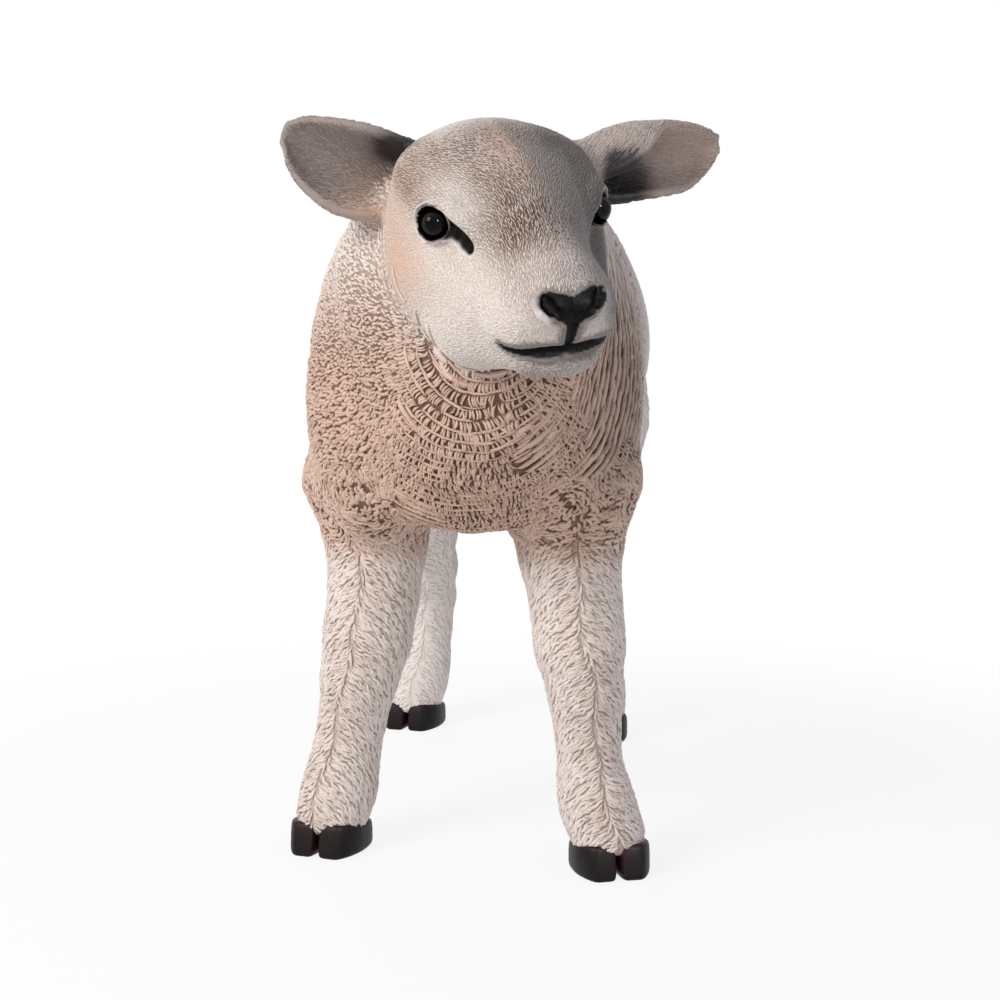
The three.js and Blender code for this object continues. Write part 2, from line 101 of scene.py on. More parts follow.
# ears: base, tip and up, then stations: share of the length, top rim (up, out), bottom rim (up, out), bow
EARS = [
    dict(base=(-26, -86, 424), tip=(-84, -114, 446), up=(0.3, 0, 1), stations=[
        (0, 17, 0, -22, 4, 20), (.25, 18, 5, -27.5, 8, 21), (.5, 17, 4, -29, 7, 17),
        (.75, 13.5, 0, -23.5, 3, 11), (.9, 10, -3, -16, 0, 6), (1, 5, -5, -6, -3, 2)]),
    dict(base=(76, -60, 431), tip=(154, -16, 443), up=(-0.1, 0, 1), stations=[
        (0, -6, 10, -16, -2, 25), (.2, -1, 19, -19, 0, 31), (.35, 9, 21, -19, 2, 28),
        (.5, 17, 13, -19, 2, 21), (.7, 17, 4, -17.5, 0, 11), (.87, 14, -1, -9.5, -2, 6),
        (1, 9, -4, 1, -4, 2)]),
]
EAR_HALF_THICKNESS, EAR_ROOT_THICKENING = 2.3, 2.2
EAR_ROOT = 14                   # how far an ear's root reaches back into the head
BETWEEN_EARS = 40               # the right ear lies to the right of this and the left ear to the left

# how deep the coat is, so how far the skin lies inside the finished outline
DEPTH = dict(wool=1.9, leg=1.3, face=0.45, ear=0.3)

# how widely a form is blended into the one that it grows from, and how widely the parts are into each other
FILLET = dict(rump=24, shoulder=25, neck=20, throat=25, ruff=26, leg=12, muscle=10, sole=3, tail=8)
JOIN = dict(neck=30, leg=14, tail=5, head=5, ear=6)
# the reach of each part round its middle: further out it isn't worked out
REACH = dict(neck=230, head=165, tail=130, ear=90, leg=210)
NECK_MIDDLE = (16, -20, 340)


# ---------------------------------------------------------------- clay: forms as distances, in mm
def vec(*numbers):
    return np.array(numbers, np.float32)


def smooth(x, low, high):
    t = np.clip((x - low) / (high - low), 0, 1)
    return t * t * (3 - 2 * t)


def blend(a, b, k):
    """Two forms joined with a fillet about k wide."""
    h = np.clip(0.5 + 0.5 * (b - a) / k, 0, 1)
    return b + (a - b) * h - k * h * (1 - h)


def carve(a, b, k):
    """Form a with form b taken out of it, the edge rounded by k."""
    return -blend(-a, b, k)


def lump(p, at, radii):
    q, r = p - vec(*at), vec(*radii)
    near, slope = np.sqrt(((q / r) ** 2).sum(1)), np.sqrt(((q / (r * r)) ** 2).sum(1)) + 1e-9
    return near * (near - 1) / slope


def limb(p, a, b):
    """A round limb between two joints (x, y, z, radius)."""
    start, end = vec(*a[:3]), vec(*b[:3])
    along = end - start
    t = np.clip(((p - start) @ along) / (along @ along), 0, 1)
    return np.sqrt((((p - start) - t[:, None] * along) ** 2).sum(1)) - (a[3] + (b[3] - a[3]) * t)


def chain(p, joints, k):
    d = limb(p, joints[0], joints[1])
    for a, b in zip(joints[1:-1], joints[2:]):
        d = blend(d, limb(p, a, b), k)
    return d


def through(x, xs, ys):
    """A smooth curve through the stations."""
    xs, ys = np.array(xs, float), np.array(ys, float)
    slope = np.gradient(ys, xs)
    slope[1:-1] = (ys[2:] - ys[:-2]) / (xs[2:] - xs[:-2])
    i = np.clip(np.searchsorted(xs, x) - 1, 0, len(xs) - 2)
    h = xs[i + 1] - xs[i]
    t = np.clip((x - xs[i]) / h, 0, 1)
    return ((2 * t**3 - 3 * t**2 + 1) * ys[i] + (t**3 - 2 * t**2 + t) * h * slope[i]
            + (3 * t**2 - 2 * t**3) * ys[i + 1] + (t**3 - t**2) * h * slope[i + 1]).astype(np.float32)


def nearby(p, at, reach, form):
    """A form's distance at the points within reach of it; the others get FAR."""
    d = np.full(len(p), FAR, np.float32)
    close = ((p - vec(*at)) ** 2).sum(1) < reach**2
    if close.any():
        d[close] = form(p[close])
    return d


def barrel(p):
    s = np.array(TRUNK, float)
    y = np.clip(p[:, 1], s[0, 0], s[-1, 0])
    half, top, bottom = (through(y, s[:, 0], s[:, i]) for i in (1, 2, 3))
    middle, tall = (top + bottom) / 2, (top - bottom) / 2
    lift = np.clip((p[:, 2] - middle) / tall, -1, 1)
    q = np.sqrt(((p[:, 0] - TRUNK_MIDDLE) / (half * (1 - BACK_NARROWING * lift))) ** 2
                + ((p[:, 2] - middle) / tall) ** 2)
    d = (q - 1) * np.minimum(half, tall)
    over = np.maximum(s[0, 0] - p[:, 1], p[:, 1] - s[-1, 0])
    return np.where(over > 0, np.sqrt(np.maximum(d, 0) ** 2 + over**2), d) * 0.9    # a little short


def torso(p):
    d = blend(barrel(p), lump(p, *RUMP), FILLET["rump"])
    for side in (-1, 1):
        for middle, (out, back, up), radii in (SHOULDER, HAUNCH):
            d = blend(d, lump(p, (middle + side * out, back, up), radii), FILLET["shoulder"])
    return d


def neck(p):
    d = blend(chain(p, NECK, FILLET["neck"]), chain(p, THROAT, FILLET["neck"]), FILLET["throat"])
    return blend(d, lump(p, *RUFF), FILLET["ruff"])


def leg(p, shape):
    d = chain(p, shape["joints"], FILLET["leg"])
    for at, radii in shape["swellings"]:
        d = blend(d, lump(p, at, radii), FILLET["muscle"])
    return -blend(-d, p[:, 2] - SOLE_CUT, FILLET["sole"])


# ---------------------------------------------------------------- the head
def head_axes():
    turn, drop, tilt = np.radians([HEAD_TURN, HEAD_DROP, HEAD_TILT])
    ahead = vec(np.sin(turn) * np.cos(drop), -np.cos(turn) * np.cos(drop), -np.sin(drop))
    left = vec(np.cos(turn), np.sin(turn), 0)
    up = np.cross(ahead, left)
    up = up if up[2] > 0 else -up
    return np.stack([ahead, left * np.cos(tilt) + up * np.sin(tilt),
                     up * np.cos(tilt) - left * np.sin(tilt)])


AXES = head_axes()


def to_head(p):
    return (p - vec(*HEAD_MIDDLE)) @ AXES.T


def from_head(q):
    return np.asarray(q, np.float32) @ AXES + vec(*HEAD_MIDDLE)


BACK_OF_SKULL = ((-40, 0, 0), (46, 54, 38))
SKULL = [  # a lump (at, radii) or a limb (joint, joint), then how widely it is blended in
    (((-10, 0, 7), (46, 45, 28)), 18),                      # forehead
    (((2, 0, 0, 33), (60, 0, -8, 25)), 14),                 # bridge of the nose
    (((63, 0, -14), (26, 32, 22)), 12),                     # muzzle
    (((-24, 31, -30), (44, 30, 38)), 18),                   # cheek
    (((12, 21, -26), (46, 26, 27)), 14),                    # side of the face
    (((-22, 27, -46, 24), (20, 24, -48, 20)), 14),          # jaw
    (((20, 23, -48, 20), (66, 11, -38, 12)), 14),           # jaw to chin
    (((72, 0, -37), (16, 22, 11)), 8),                      # chin
    (((60, 18, -23), (20, 14.5, 14)), 8),                   # upper lip
    (((-9, 41, 11), (23, 11, 9)), 13),                      # brow
    (((81, 9, -3), (11, 12, 9)), 8),                        # wing of the nose
    (((-36, 31, 13), (22, 22, 14)), 12),                    # ear base
]


def bare_head(q):
    s = np.stack([q[:, 0], np.abs(q[:, 1]), q[:, 2]], 1)
    d = lump(s, *BACK_OF_SKULL)
    for (a, b), k in SKULL:
        d = blend(d, limb(s, a, b) if len(a) == 4 else lump(s, a, b), k)
    return d


# the features cut and raised on the face, in the head's frame and mirrored
MUZZLE_SKEW = 0.055                                         # the muzzle is carved a little askew
LID_RING = 1.5                                              # how far the lids stand off the eyeball
EYE_OPENING = [(5.8, 50.2, 7.7, 8.6), (7.2, 50.8, 8.2, 8.3)]    # two balls that cut the lids open
TEAR_DUCT = [(12, 49.6, 8.2, 8.6), (15.5, 45.6, 6.2, 7.3), (18.2, 41, 4.4, 6.0), (20.8, 37.6, 2.8, 5.0),
             (23.2, 35.2, 1.8, 3.8)]
EYE_CORNER = [(9, 46, 7, 4.5), (16, 43.5, 5.5, 4.5)]        # where the eye and its tear duct run together
BROW_FOLD = [(-8, 49, 14, 1.4), (-1, 45, 18, 2.4), (9, 38, 18.2, 2.8), (19, 32.5, 13.2, 2.4),
             (29, 28, 7.5, 1.0)]
EYE_HOLLOW = ((30, 43, 0), (17, 9, 8))                      # the dip in front of each eye
NOSTRIL = [(85, 14.5, 5, 1.6), (88, 13.8, 3.3, 3.0), (90.4, 12.2, 0.8, 2.4), (91.9, 9.4, -1.2, 1.3),
           (92.4, 5.4, -4.2, 1.1), (91.4, 1.2, -9.6, 1.1)]
NOSTRIL_RIM = [(82.5, 15.6, 6.5, 1.2), (85, 18, 2.4, 1.8), (88.6, 16.8, -1.2, 1.7), (91.2, 13, -3.6, 1.2)]
PAD_RIM = [(90.2, 10.6, 2.9, 0.9), (91.7, 7.6, 1.0, 0.9), (92.7, 4, -2.8, 0.9), (92.2, 0.6, -8, 0.7)]
NOSE_PAD = [(88.8, 0, 0, 3.6), (88, 7, 2, 3.6), (85.5, 12.5, 3.6, 3.2)]
NOSE_STEM = [(90.5, 7, -1.5, 3.4), (91.2, 0, -4, 4.0), (91.5, 0, -10, 2.4), (88, 0, -24, 1.6)]
PHILTRUM = [(91.5, 0, -10, 1.5), (90.3, 0, -16, 1.2), (87.6, 0, -24, 1.4)]
MOUTH = [(87, 0, -26.4, 2.4), (85.9, 8, -26.9, 2.4), (84, 13.5, -27.4, 2.1), (81.6, 20, -28.2, 1.5),
         (75.4, 25.8, -29, 0.9), (68.4, 28.8, -29.8, 1.1)]
NOSE_MIDDLE = (86, 14, -12)

# thin raised lines laid over the face: the edge of the cheek, and the fold of each upper lid
CHEEK_MIDDLE, CHEEK_REACH, CHEEK_SIDE = (15, -15), 36, 59      # forward and up, radius, out to the side
CHEEK_EDGE = [(CHEEK_MIDDLE[0] + CHEEK_REACH * np.cos(turn), CHEEK_SIDE,
               CHEEK_MIDDLE[1] + CHEEK_REACH * np.sin(turn), 0.5)
              for turn in np.radians((200, 212, 224, 236))]     # an arc round the cheek's middle
LID_FOLD = [(6.5, 52, -4.5, 0.4), (-1, 54, -1, 0.4), (-5.5, 54.5, 5, 0.4), (-4.5, 52.5, 12, 0.4),
            (0.5, 49.5, 17.5, 0.4), (7, 46.5, 19, 0.4)]


def mirrored(q):
    """The head's frame folded at its middle, so both sides get the same features."""
    u, v, w = q.T
    return np.stack([u, np.abs(v), w - MUZZLE_SKEW * v * smooth(u, 50, 85)], 1)


def face(q):
    """The head with its lids, nostrils and mouth."""
    s = mirrored(q)
    d = bare_head(q)
    lids, brow, nose = 40, 44, 45       # how far each of them reaches
    d = carve(d, nearby(s, EYE_HOLLOW[0], brow, lambda x: lump(x, *EYE_HOLLOW)), 9)
    d = blend(d, nearby(s, EYE_AT, lids, lambda x: lump(x, EYE_AT, (EYE_RADIUS + LID_RING,) * 3)), 3.5)
    d = blend(d, nearby(s, EYE_AT, brow, lambda x: chain(x, BROW_FOLD, 3)), 5)
    d = carve(d, nearby(s, EYE_AT, lids,
                        lambda x: blend(chain(x, EYE_OPENING, 1), chain(x, TEAR_DUCT, 2), 4)), 1.1)
    for joints, k in ((NOSTRIL_RIM, 1.6), (PAD_RIM, 1.0)):
        d = blend(d, nearby(s, NOSE_MIDDLE, nose, lambda x: chain(x, joints, 2)), k)
    for joints, k in ((NOSTRIL, 0.9), (PHILTRUM, 1.8), (MOUTH, 1.2)):
        d = carve(d, nearby(s, NOSE_MIDDLE, nose, lambda x: chain(x, joints, 1.2)), k)
    return d


def ear_frame(e):
    along = vec(*e["tip"]) - vec(*e["base"])
    length = float(np.linalg.norm(along))
    along = along / length
    up = vec(*e["up"])
    up = up - along * (up @ along)
    up = up / np.linalg.norm(up)
    out = np.cross(up, along)
    return along, up, -out if out[1] > 0 else out, length


def ear_place(p, e):
    """Where points are on an ear: along it as a share, round its cup as -1 to 1, and off the cup's sheet."""
    along, up, out, length = ear_frame(e)
    r = p - vec(*e["base"])
    s, t, n = r @ along, r @ up, r @ out
    st = np.array(e["stations"], float)
    share = np.clip(s / length, 0, 1)
    top, top_out, low, low_out, bow = (through(share, st[:, 0], st[:, i]) for i in range(1, 6))
    half_up, half_out = (top - low) / 2, (top_out - low_out) / 2
    chord = np.sqrt(half_up**2 + half_out**2) + 1e-3
    ux, un = half_up / chord, half_out / chord
    bx, bn = un, -ux
    radius = (chord**2 + bow**2) / (2 * bow)
    reach = np.arctan2(chord, radius - bow)
    ct, cn = (top + low) / 2 + bx * (bow - radius), (top_out + low_out) / 2 + bn * (bow - radius)
    a, b = (t - ct) * ux + (n - cn) * un, (t - ct) * bx + (n - cn) * bn
    away, turn = np.sqrt(a * a + b * b) + 1e-6, np.arctan2(a, b)
    rim = np.sqrt((a - radius * np.sin(reach) * np.sign(a)) ** 2 + (b - radius * np.cos(reach)) ** 2)
    sheet = np.where(np.abs(turn) > reach, rim, np.abs(away - radius))
    past = np.maximum(np.maximum(-s - EAR_ROOT, s - length), 0)
    thick = EAR_HALF_THICKNESS + EAR_ROOT_THICKENING * (1 - share) ** 2
    return (np.sqrt(sheet**2 + past**2) - thick) * 0.8, share, turn / reach, away - radius


def ear(p, e):
    return ear_place(p, e)[0]


# ---------------------------------------------------------------- the whole animal
def parts(p):
    """The distance of each part's skin, as if it stood alone."""
    found = {
        "torso": torso(p) + DEPTH["wool"],
        "neck": nearby(p, NECK_MIDDLE, REACH["neck"], neck) + DEPTH["wool"],
        "head": nearby(p, HEAD_MIDDLE, REACH["head"], lambda x: face(to_head(x))) + DEPTH["face"],
        "tail": nearby(p, TAIL[2][:3], REACH["tail"],
                       lambda x: chain(x, TAIL, FILLET["tail"])) + DEPTH["wool"],
    }
    for i, e in enumerate(EARS):
        middle = (vec(*e["base"]) + vec(*e["tip"])) / 2
        found["ear", i] = nearby(p, middle, REACH["ear"], lambda x: ear(x, e)) + DEPTH["ear"]
    for name, shape in LEGS.items():
        middle = np.mean(np.array(shape["joints"])[:, :3], 0)
        found["leg", name] = nearby(p, middle, REACH["leg"], lambda x: leg(x, shape)) + DEPTH["leg"]
    return found


def skin_distance(p):
    f = parts(p)
    d = blend(f["torso"], f["neck"], JOIN["neck"])
    for name in LEGS:
        d = blend(d, f["leg", name], JOIN["leg"])
    d = blend(d, f["tail"], JOIN["tail"])
    d = blend(d, f["head"], JOIN["head"])
    for i in range(len(EARS)):
        d = blend(d, f["ear", i], JOIN["ear"])
    return d


PROBE = np.array([(1, -1, -1), (-1, -1, 1), (-1, 1, -1), (1, 1, 1)], np.float32)
STRIDE = 3                      # the furthest a point is moved towards the skin at once


def slope(p, form=skin_distance, step=0.35):
    """The form's outward direction, and how fast its distance grows."""
    g = sum(k * form(p + k * step)[:, None] for k in PROBE) / (4 * step)
    size = np.linalg.norm(g, axis=1, keepdims=True) + 1e-9
    return g / size, size


def onto_skin(p, times=2, form=skin_distance):
    """Moves points onto the skin; gives them and the skin's outward direction there."""
    for _ in range(times):
        n, size = slope(p, form)
        p = p - n * np.clip(form(p)[:, None] / size, -STRIDE, STRIDE)
    return p, slope(p, form)[0]


# ---------------------------------------------------------------- casting: the clay as one closed mesh
def steps(*stretches):
    """Grid lines along one axis: (from, to, spacing) for each stretch."""
    lines = [np.linspace(a, b, max(int(round((b - a) / gap)), 1), endpoint=False)
             for a, b, gap in stretches]
    return np.concatenate(lines + [[stretches[-1][1]]]).astype(np.float32)


GRID = (steps((-122, -88, 2.8), (-88, -58, 1.9), (-58, -14, 2.6), (-14, 108, 2.15), (108, 172, 2.0)),
        steps((-222, -56, 2.0), (-56, 8, 2.8), (8, 60, 4.8), (60, 330, 7), (330, 420, 4.5)),
        steps((-4, 212, 4.2), (212, 322, 3.4), (322, 470, 2.0)))
BLOCK = 6                       # grid cells are tried in blocks first, so most of the air is skipped
SPARE = 1.2                     # how much wider than a block the surface is looked for
AT_ONCE = 300000                # points worked out in one go


def sampled(form, grid):
    """The form's distance at the grid's points, worked out only near its surface."""
    sizes = [len(axis) for axis in grid]
    blocks = [np.arange(0, n, BLOCK) for n in sizes]
    middles = [axis[np.minimum(b + BLOCK // 2, len(axis) - 1)] for b, axis in zip(blocks, grid)]
    centres = np.stack(np.meshgrid(*middles, indexing="ij"), -1).reshape(-1, 3)
    reach = 0.5 * math.sqrt(sum((BLOCK * float(np.diff(axis).max())) ** 2 for axis in grid)) * SPARE
    d = form(centres)

    def spread(values):
        values = values.reshape([len(b) for b in blocks])
        for axis in range(3):
            values = np.repeat(values, BLOCK, axis)
        return values[:sizes[0], :sizes[1], :sizes[2]]

    field = spread(np.where(d < 0, -FAR, FAR).astype(np.float32)).copy()
    where = np.nonzero(spread(np.abs(d) < reach))
    points = np.stack([axis[i] for axis, i in zip(grid, where)], 1)
    chunks = np.array_split(points, 1 + len(points) // AT_ONCE)
    field[where] = np.concatenate([form(chunk) for chunk in chunks])
    return field


def net(form, grid):
    """One quad across each grid edge that the surface cuts, and one corner in each cell it passes."""
    field = sampled(form, grid)
    inside = field < 0
    shape = [n - 1 for n in field.shape]
    count = sum(inside[i:shape[0] + i, j:shape[1] + j, k:shape[2] + k].astype(np.int8)
                for i in (0, 1) for j in (0, 1) for k in (0, 1))
    cell = np.nonzero((count > 0) & (count < 8))
    number = np.full(shape, -1, np.int32)
    number[cell] = np.arange(len(cell[0]))
    total, hits = np.zeros((len(cell[0]), 3)), np.zeros(len(cell[0]))
    for axis in range(3):
        others = [k for k in range(3) if k != axis]
        for corner in ((0, 0), (0, 1), (1, 0), (1, 1)):
            start = list(cell)
            for k, shift in zip(others, corner):
                start[k] = start[k] + shift
            end = list(start)
            end[axis] = end[axis] + 1
            a, b = field[tuple(start)], field[tuple(end)]
            crosses = (a < 0) != (b < 0)
            t = np.where(crosses, a / (a - b + 1e-12), 0)
            for k in range(3):
                x = grid[k][start[k]].astype(float)
                if k == axis:
                    x = x + t * (grid[k][end[k]] - grid[k][start[k]])
                total[:, k] += np.where(crosses, x, 0)
            hits += crosses
    quads = []
    for axis in range(3):
        a, b = (axis + 1) % 3, (axis + 2) % 3
        first, second = [slice(None)] * 3, [slice(None)] * 3
        first[axis], second[axis] = slice(0, -1), slice(1, None)
        for k in (a, b):
            first[k] = second[k] = slice(1, -1)
        low, high = inside[tuple(first)], inside[tuple(second)]
        at = list(np.nonzero(low != high))
        outward = low[low != high]
        at[a], at[b] = at[a] + 1, at[b] + 1

        def cell_at(i, j):
            place = list(at)
            place[a], place[b] = place[a] - i, place[b] - j
            return number[tuple(place)]

        quad = np.stack([cell_at(1, 1), cell_at(0, 1), cell_at(0, 0), cell_at(1, 0)], 1)
        quad[~outward] = quad[~outward][:, ::-1]
        quads.append(quad)
    return (total / hits[:, None]).astype(np.float32), np.concatenate(quads)


FINE = [  # places on the head that are cut finer: centre and radius in the head's frame, mirrored
    ((11, 44, 8), 24), ((86, 10, -8), 24), ((78, 22, -28), 12)]


def refined(corners, quads):
    """The mesh with the eyes and the nose cut twice as fine."""
    bm = bmesh.new()
    mesh = bpy.data.meshes.new("clay")
    mesh.from_pydata(corners, [], quads)
    bm.from_mesh(mesh)
    bpy.data.meshes.remove(mesh)
    q = mirrored(to_head(corners))
    close = np.zeros(len(q), bool)
    for at, radius in FINE:
        close |= ((q - vec(*at)) ** 2).sum(1) < radius**2
    bm.verts.ensure_lookup_table()
    edges = [e for e in bm.edges if close[e.verts[0].index] and close[e.verts[1].index]]
    bmesh.ops.subdivide_edges(bm, edges=edges, cuts=1, use_grid_fill=True)
    bmesh.ops.triangulate(bm, faces=[f for f in bm.faces if len(f.verts) > 4])
    out = bpy.data.meshes.new("skin")
    bm.to_mesh(out)
    bm.free()
    return out


def read(mesh, what="co"):
    values = np.empty(len(mesh.vertices) * 3, np.float32)
    mesh.vertices.foreach_get(what, values)
    return values.reshape(-1, 3)


def write(mesh, points):
    mesh.vertices.foreach_set("co", np.asarray(points, np.float32).ravel())
    mesh.update()


# ---------------------------------------------------------------- paint: masks shared by skin and coat
def spot(p, at, radii):
    """1 at a place, fading out round it."""
    return np.exp(-(((p - vec(*at)) / vec(*radii)) ** 2).sum(1))


def near_chain(p, joints, fade):
    """1 on a line of joints, fading out over the fade."""
    return 1 - smooth(chain(p, joints, 1), fade * 0.45, fade)


SOFT_EDGE = 2.5                 # how softly one part's coat and paint give way to the next


def shares(found):
    """How far each point belongs to each part: the nearest counts, with a soft edge."""
    names = list(found)
    d = np.stack([found[name] for name in names], 1)
    weight = np.exp(-(d - d.min(1, keepdims=True)) / SOFT_EDGE)
    weight = weight / weight.sum(1, keepdims=True)
    return dict(zip(names, weight.T))


# the neck's wool lies in rows, like necklaces hung from the jaw: rings round a point under the chin,
# which moves back to the lamb's right as the rings grow
RINGS = dict(small=((26, -150, 342), 32), wide=((9, -150, 330), 95), stretch=(1.0, 0.8, 1.0))
ROW = 5.0                       # from one row to the next


def wander(p):
    x, _, z = p.T
    return 1.8 * np.sin(x / 23 + 1) * np.sin(z / 31) + 0.8 * np.sin(x / 9 + z / 13)


def row(p):
    """Which row of wool a place is on: whole numbers are where one row ends and the next begins."""
    (small, r0), (wide, r1) = RINGS["small"], RINGS["wide"]
    stretch = vec(*RINGS["stretch"])
    near = np.linalg.norm((p - vec(*small)) * stretch, axis=1)
    centre = vec(*small) + (vec(*wide) - vec(*small)) * smooth(near, r0, r1)[:, None]
    return (np.linalg.norm((p - centre) * stretch, axis=1) + wander(p)) / ROW


def paint(p, belongs):
    """Masks: tan, brown glaze in the recesses, grey paint, blush; and ink. The glaze and the grey also carry
    painted shade: on the far side of the face, under the chin, round the mouth and nose, in the ears and on
    the lamb's left front.
    """
    x, y, z = p.T
    q = to_head(p)
    s = mirrored(q)
    u, v, w = q.T
    legs = sum(belongs["leg", name] for name in LEGS)
    hind = belongs["leg", "hind_right"] + belongs["leg", "hind_left"]
    wool = belongs["neck"] + belongs["torso"] + belongs["tail"]
    head = belongs["head"]

    front = 1 - smooth(y, -40, 110)
    low = 1 - smooth(z, 305, 405)
    # the glaze deepens towards the lamb's left: brown glaze there, with painted shade on the side turned from
    # the lamps
    across = smooth(x, -70, 20)
    tan = wool * (0.05 + 0.95 * front * (0.12 + 0.88 * low))
    stain_and_shade = wool * (0.10 + 0.90 * front * (0.10 + 0.90 * low) * (0.70 + 0.30 * across))
    # painted shade: the front of the lamb's left side, turned from the lamps, is greyed
    grey_and_shade = wool * 0.36 * smooth(x, 62, 100) * (1 - smooth(y, 60, 200))
    cuff = smooth(z, 192, 218) * (1 - smooth(y, 60, 160))
    tan = tan + legs * (0.18 + 0.72 * cuff) * (1 - hind)
    stain_and_shade = stain_and_shade + legs * (0.26 + 0.58 * cuff) * (1 - 0.9 * hind)
    for name in ("front_right", "front_left"):
        parted = belongs["leg", name] * np.exp(-((off_parting(p, name) / 0.45) ** 2))
        tan, stain_and_shade = tan + 0.2 * parted, stain_and_shade + 0.15 * parted

    brow_dark = smooth(u, -66, -24) * (1 - smooth(u, 34, 70)) * smooth(w, -2, 18)
    near_brow = np.clip(1.2 * spot(q, (2, -38, 16), (34, 15, 16)), 0, 1)
    # the far side of the face, turned from the lamps, is darkened: grey paint with painted shade over it
    far_side_grey_and_shade = smooth(v, -4, 16) * smooth(w, -26, 4) * smooth(u, -40, 0)
    shaded = np.max([near_chain(s, joints, 5.5) for joints in (MOUTH, NOSE_PAD, NOSE_STEM)], 0)
    # painted shadow under the chin
    under_chin_shade = spot(s, (76, 8, -46), (16, 20, 8))
    # grey over the face; on its far side, under the chin, below the mouth, beside the nostrils and round the
    # mouth and nose it is painted shade
    face_grey_and_shade = (0.85 * far_side_grey_and_shade + 0.7 * smooth(v, 14, 32) + 0.12 * brow_dark + 0.4 * shaded
                  + 0.55 * spot(q, (-46, 4, 34), (24, 28, 18)) + 0.45 * near_chain(s, EYE_OPENING, 4.5)
                  + 0.75 * spot(s, (80, 6, -36), (12, 22, 6)) + 0.5 * spot(s, (84, 20, 3), (7, 5, 7))
                  + 0.5 * under_chin_shade)
    # the glaze on the face; round the mouth and nose and under the chin it is painted shade
    face_stain_and_shade = (0.03 + 0.72 * brow_dark * (1 - near_brow) + 0.32 * smooth(u, 10, 50) * smooth(w, -12, 6)
                  + 0.3 * shaded + 0.4 * under_chin_shade)
    behind = smooth(-u, -8, 24) * smooth(-v, 24, 48)
    cheek = spot(q, (-14, -50, -30), (26, 26, 24))
    tan = tan + head * (0.02 + 0.22 * brow_dark * (1 - near_brow) + 0.36 * behind + 0.3 * cheek)
    # on the far side the glaze gives way to grey, and further round the face is darkened again: painted shade
    face_stain_and_shade = face_stain_and_shade * (1 - 0.6 * far_side_grey_and_shade)
    stain_and_shade = stain_and_shade + head * np.where(v > 20, np.maximum(face_stain_and_shade, 0.6 * smooth(v, 20, 36)), face_stain_and_shade)
    grey_and_shade = grey_and_shade + head * np.clip(face_grey_and_shade, 0, 1) * (1 - 0.5 * smooth(v, 46, 62))
    blush = head * (0.9 * spot(q, (-14, -50, -24), (20, 22, 15)) + 0.5 * spot(q, (-18, -3, 36), (28, 8, 14)))

    # inside each ear the bowl near its root is darkened: painted shade
    for i, e in enumerate(EARS):
        _, share, turn, off = ear_place(p, e)
        inside, own = smooth(-off, -1, 1), belongs["ear", i]
        rim = smooth(np.abs(turn), 0.86, 1.0)
        if i == 0:
            shade = inside * (1 - smooth(share, 0.12, 0.36)) * smooth(turn, 0.1, 0.7)
            ear_grey_and_shade, dark, warm = 0.72 + 0.2 * shade, 0.36 + 0.6 * shade, 0.5
        else:
            shade = inside * (1 - smooth(share, 0.16, 0.38))
            ear_grey_and_shade = 0.42 + 0.58 * shade - 0.25 * inside
            dark, warm = 0.30 + 0.70 * shade - 0.2 * inside, 0.3 + 0.4 * inside
        tan, stain_and_shade = tan + own * warm, stain_and_shade + own * dark * (1 - 0.3 * rim)
        grey_and_shade = grey_and_shade + own * ear_grey_and_shade * (1 - 0.25 * rim)
    ear_root = (belongs["ear", 0] + head) * spot(p, (-24, -96, 440), (13, 22, 9))
    tan, stain_and_shade, grey_and_shade = tan * (1 - ear_root), stain_and_shade + ear_root, grey_and_shade + ear_root
    # painted shade: the low back of the left ear is darkened and partly inked, standing for its shaded bowl
    left_ear_painted_shade = belongs["ear", 1] * (1 - smooth(z, 431, 443)) * smooth(x, 82, 90) * (1 - smooth(x, 100, 118))
    stain_and_shade, grey_and_shade = stain_and_shade + left_ear_painted_shade, grey_and_shade + left_ear_painted_shade
    bowl = spot(p, (-38, -98, 412), (16, 20, 14))
    blush = blush + (belongs["ear", 0] + 0.7 * head) * 0.8 * bowl
    grey_and_shade = np.clip(grey_and_shade, 0, 1) * (1 - 0.6 * bowl)

    black = (EYE_OPENING, TEAR_DUCT, EYE_CORNER, NOSE_PAD, NOSE_STEM, MOUTH, NOSTRIL)
    sharp = np.max([near_chain(s, joints, 1.7) for joints in black], 0)
    soft = np.max([near_chain(s, joints, fade)
                   for joints, fade in ((MOUTH, 4.6), (NOSE_STEM, 4.2), (NOSE_PAD, 3.2))], 0)
    ink = np.maximum(sharp, 0.5 * soft) * head + 0.5 * left_ear_painted_shade
    return np.stack([np.clip(m, 0, 1) for m in (tan, stain_and_shade, grey_and_shade, blush)], 1), ink


def add_values(mesh, name, values, kind="FLOAT"):
    layer = mesh.attributes.new(name, kind, "POINT")
    what = "color" if kind == "FLOAT_COLOR" else "value"
    layer.data.foreach_set(what, np.asarray(values, np.float32).ravel())


def add_paint(mesh, masks, ink, rise):
    """Writes the paint masks, and how far each corner stands up out of the recesses."""
    add_values(mesh, "Paint", masks, "FLOAT_COLOR")
    add_values(mesh, "Ink", ink)
    add_values(mesh, "Rise", rise)


# ---------------------------------------------------------------- the lie of the coat
def leg_middle(z, name):
    """The middle of a leg at a height, and its radius there."""
    j = np.array(LEGS[name]["joints"])[::-1]
    return [np.interp(z, j[:, 2], j[:, k]) for k in (0, 1, 3)]


def leg_round(p, name):
    """The turn round a leg from its front, in radians, growing to the lamb's left."""
    x, y, _ = leg_middle(p[:, 2], name)
    return np.arctan2(p[:, 0] - x, y - p[:, 1])


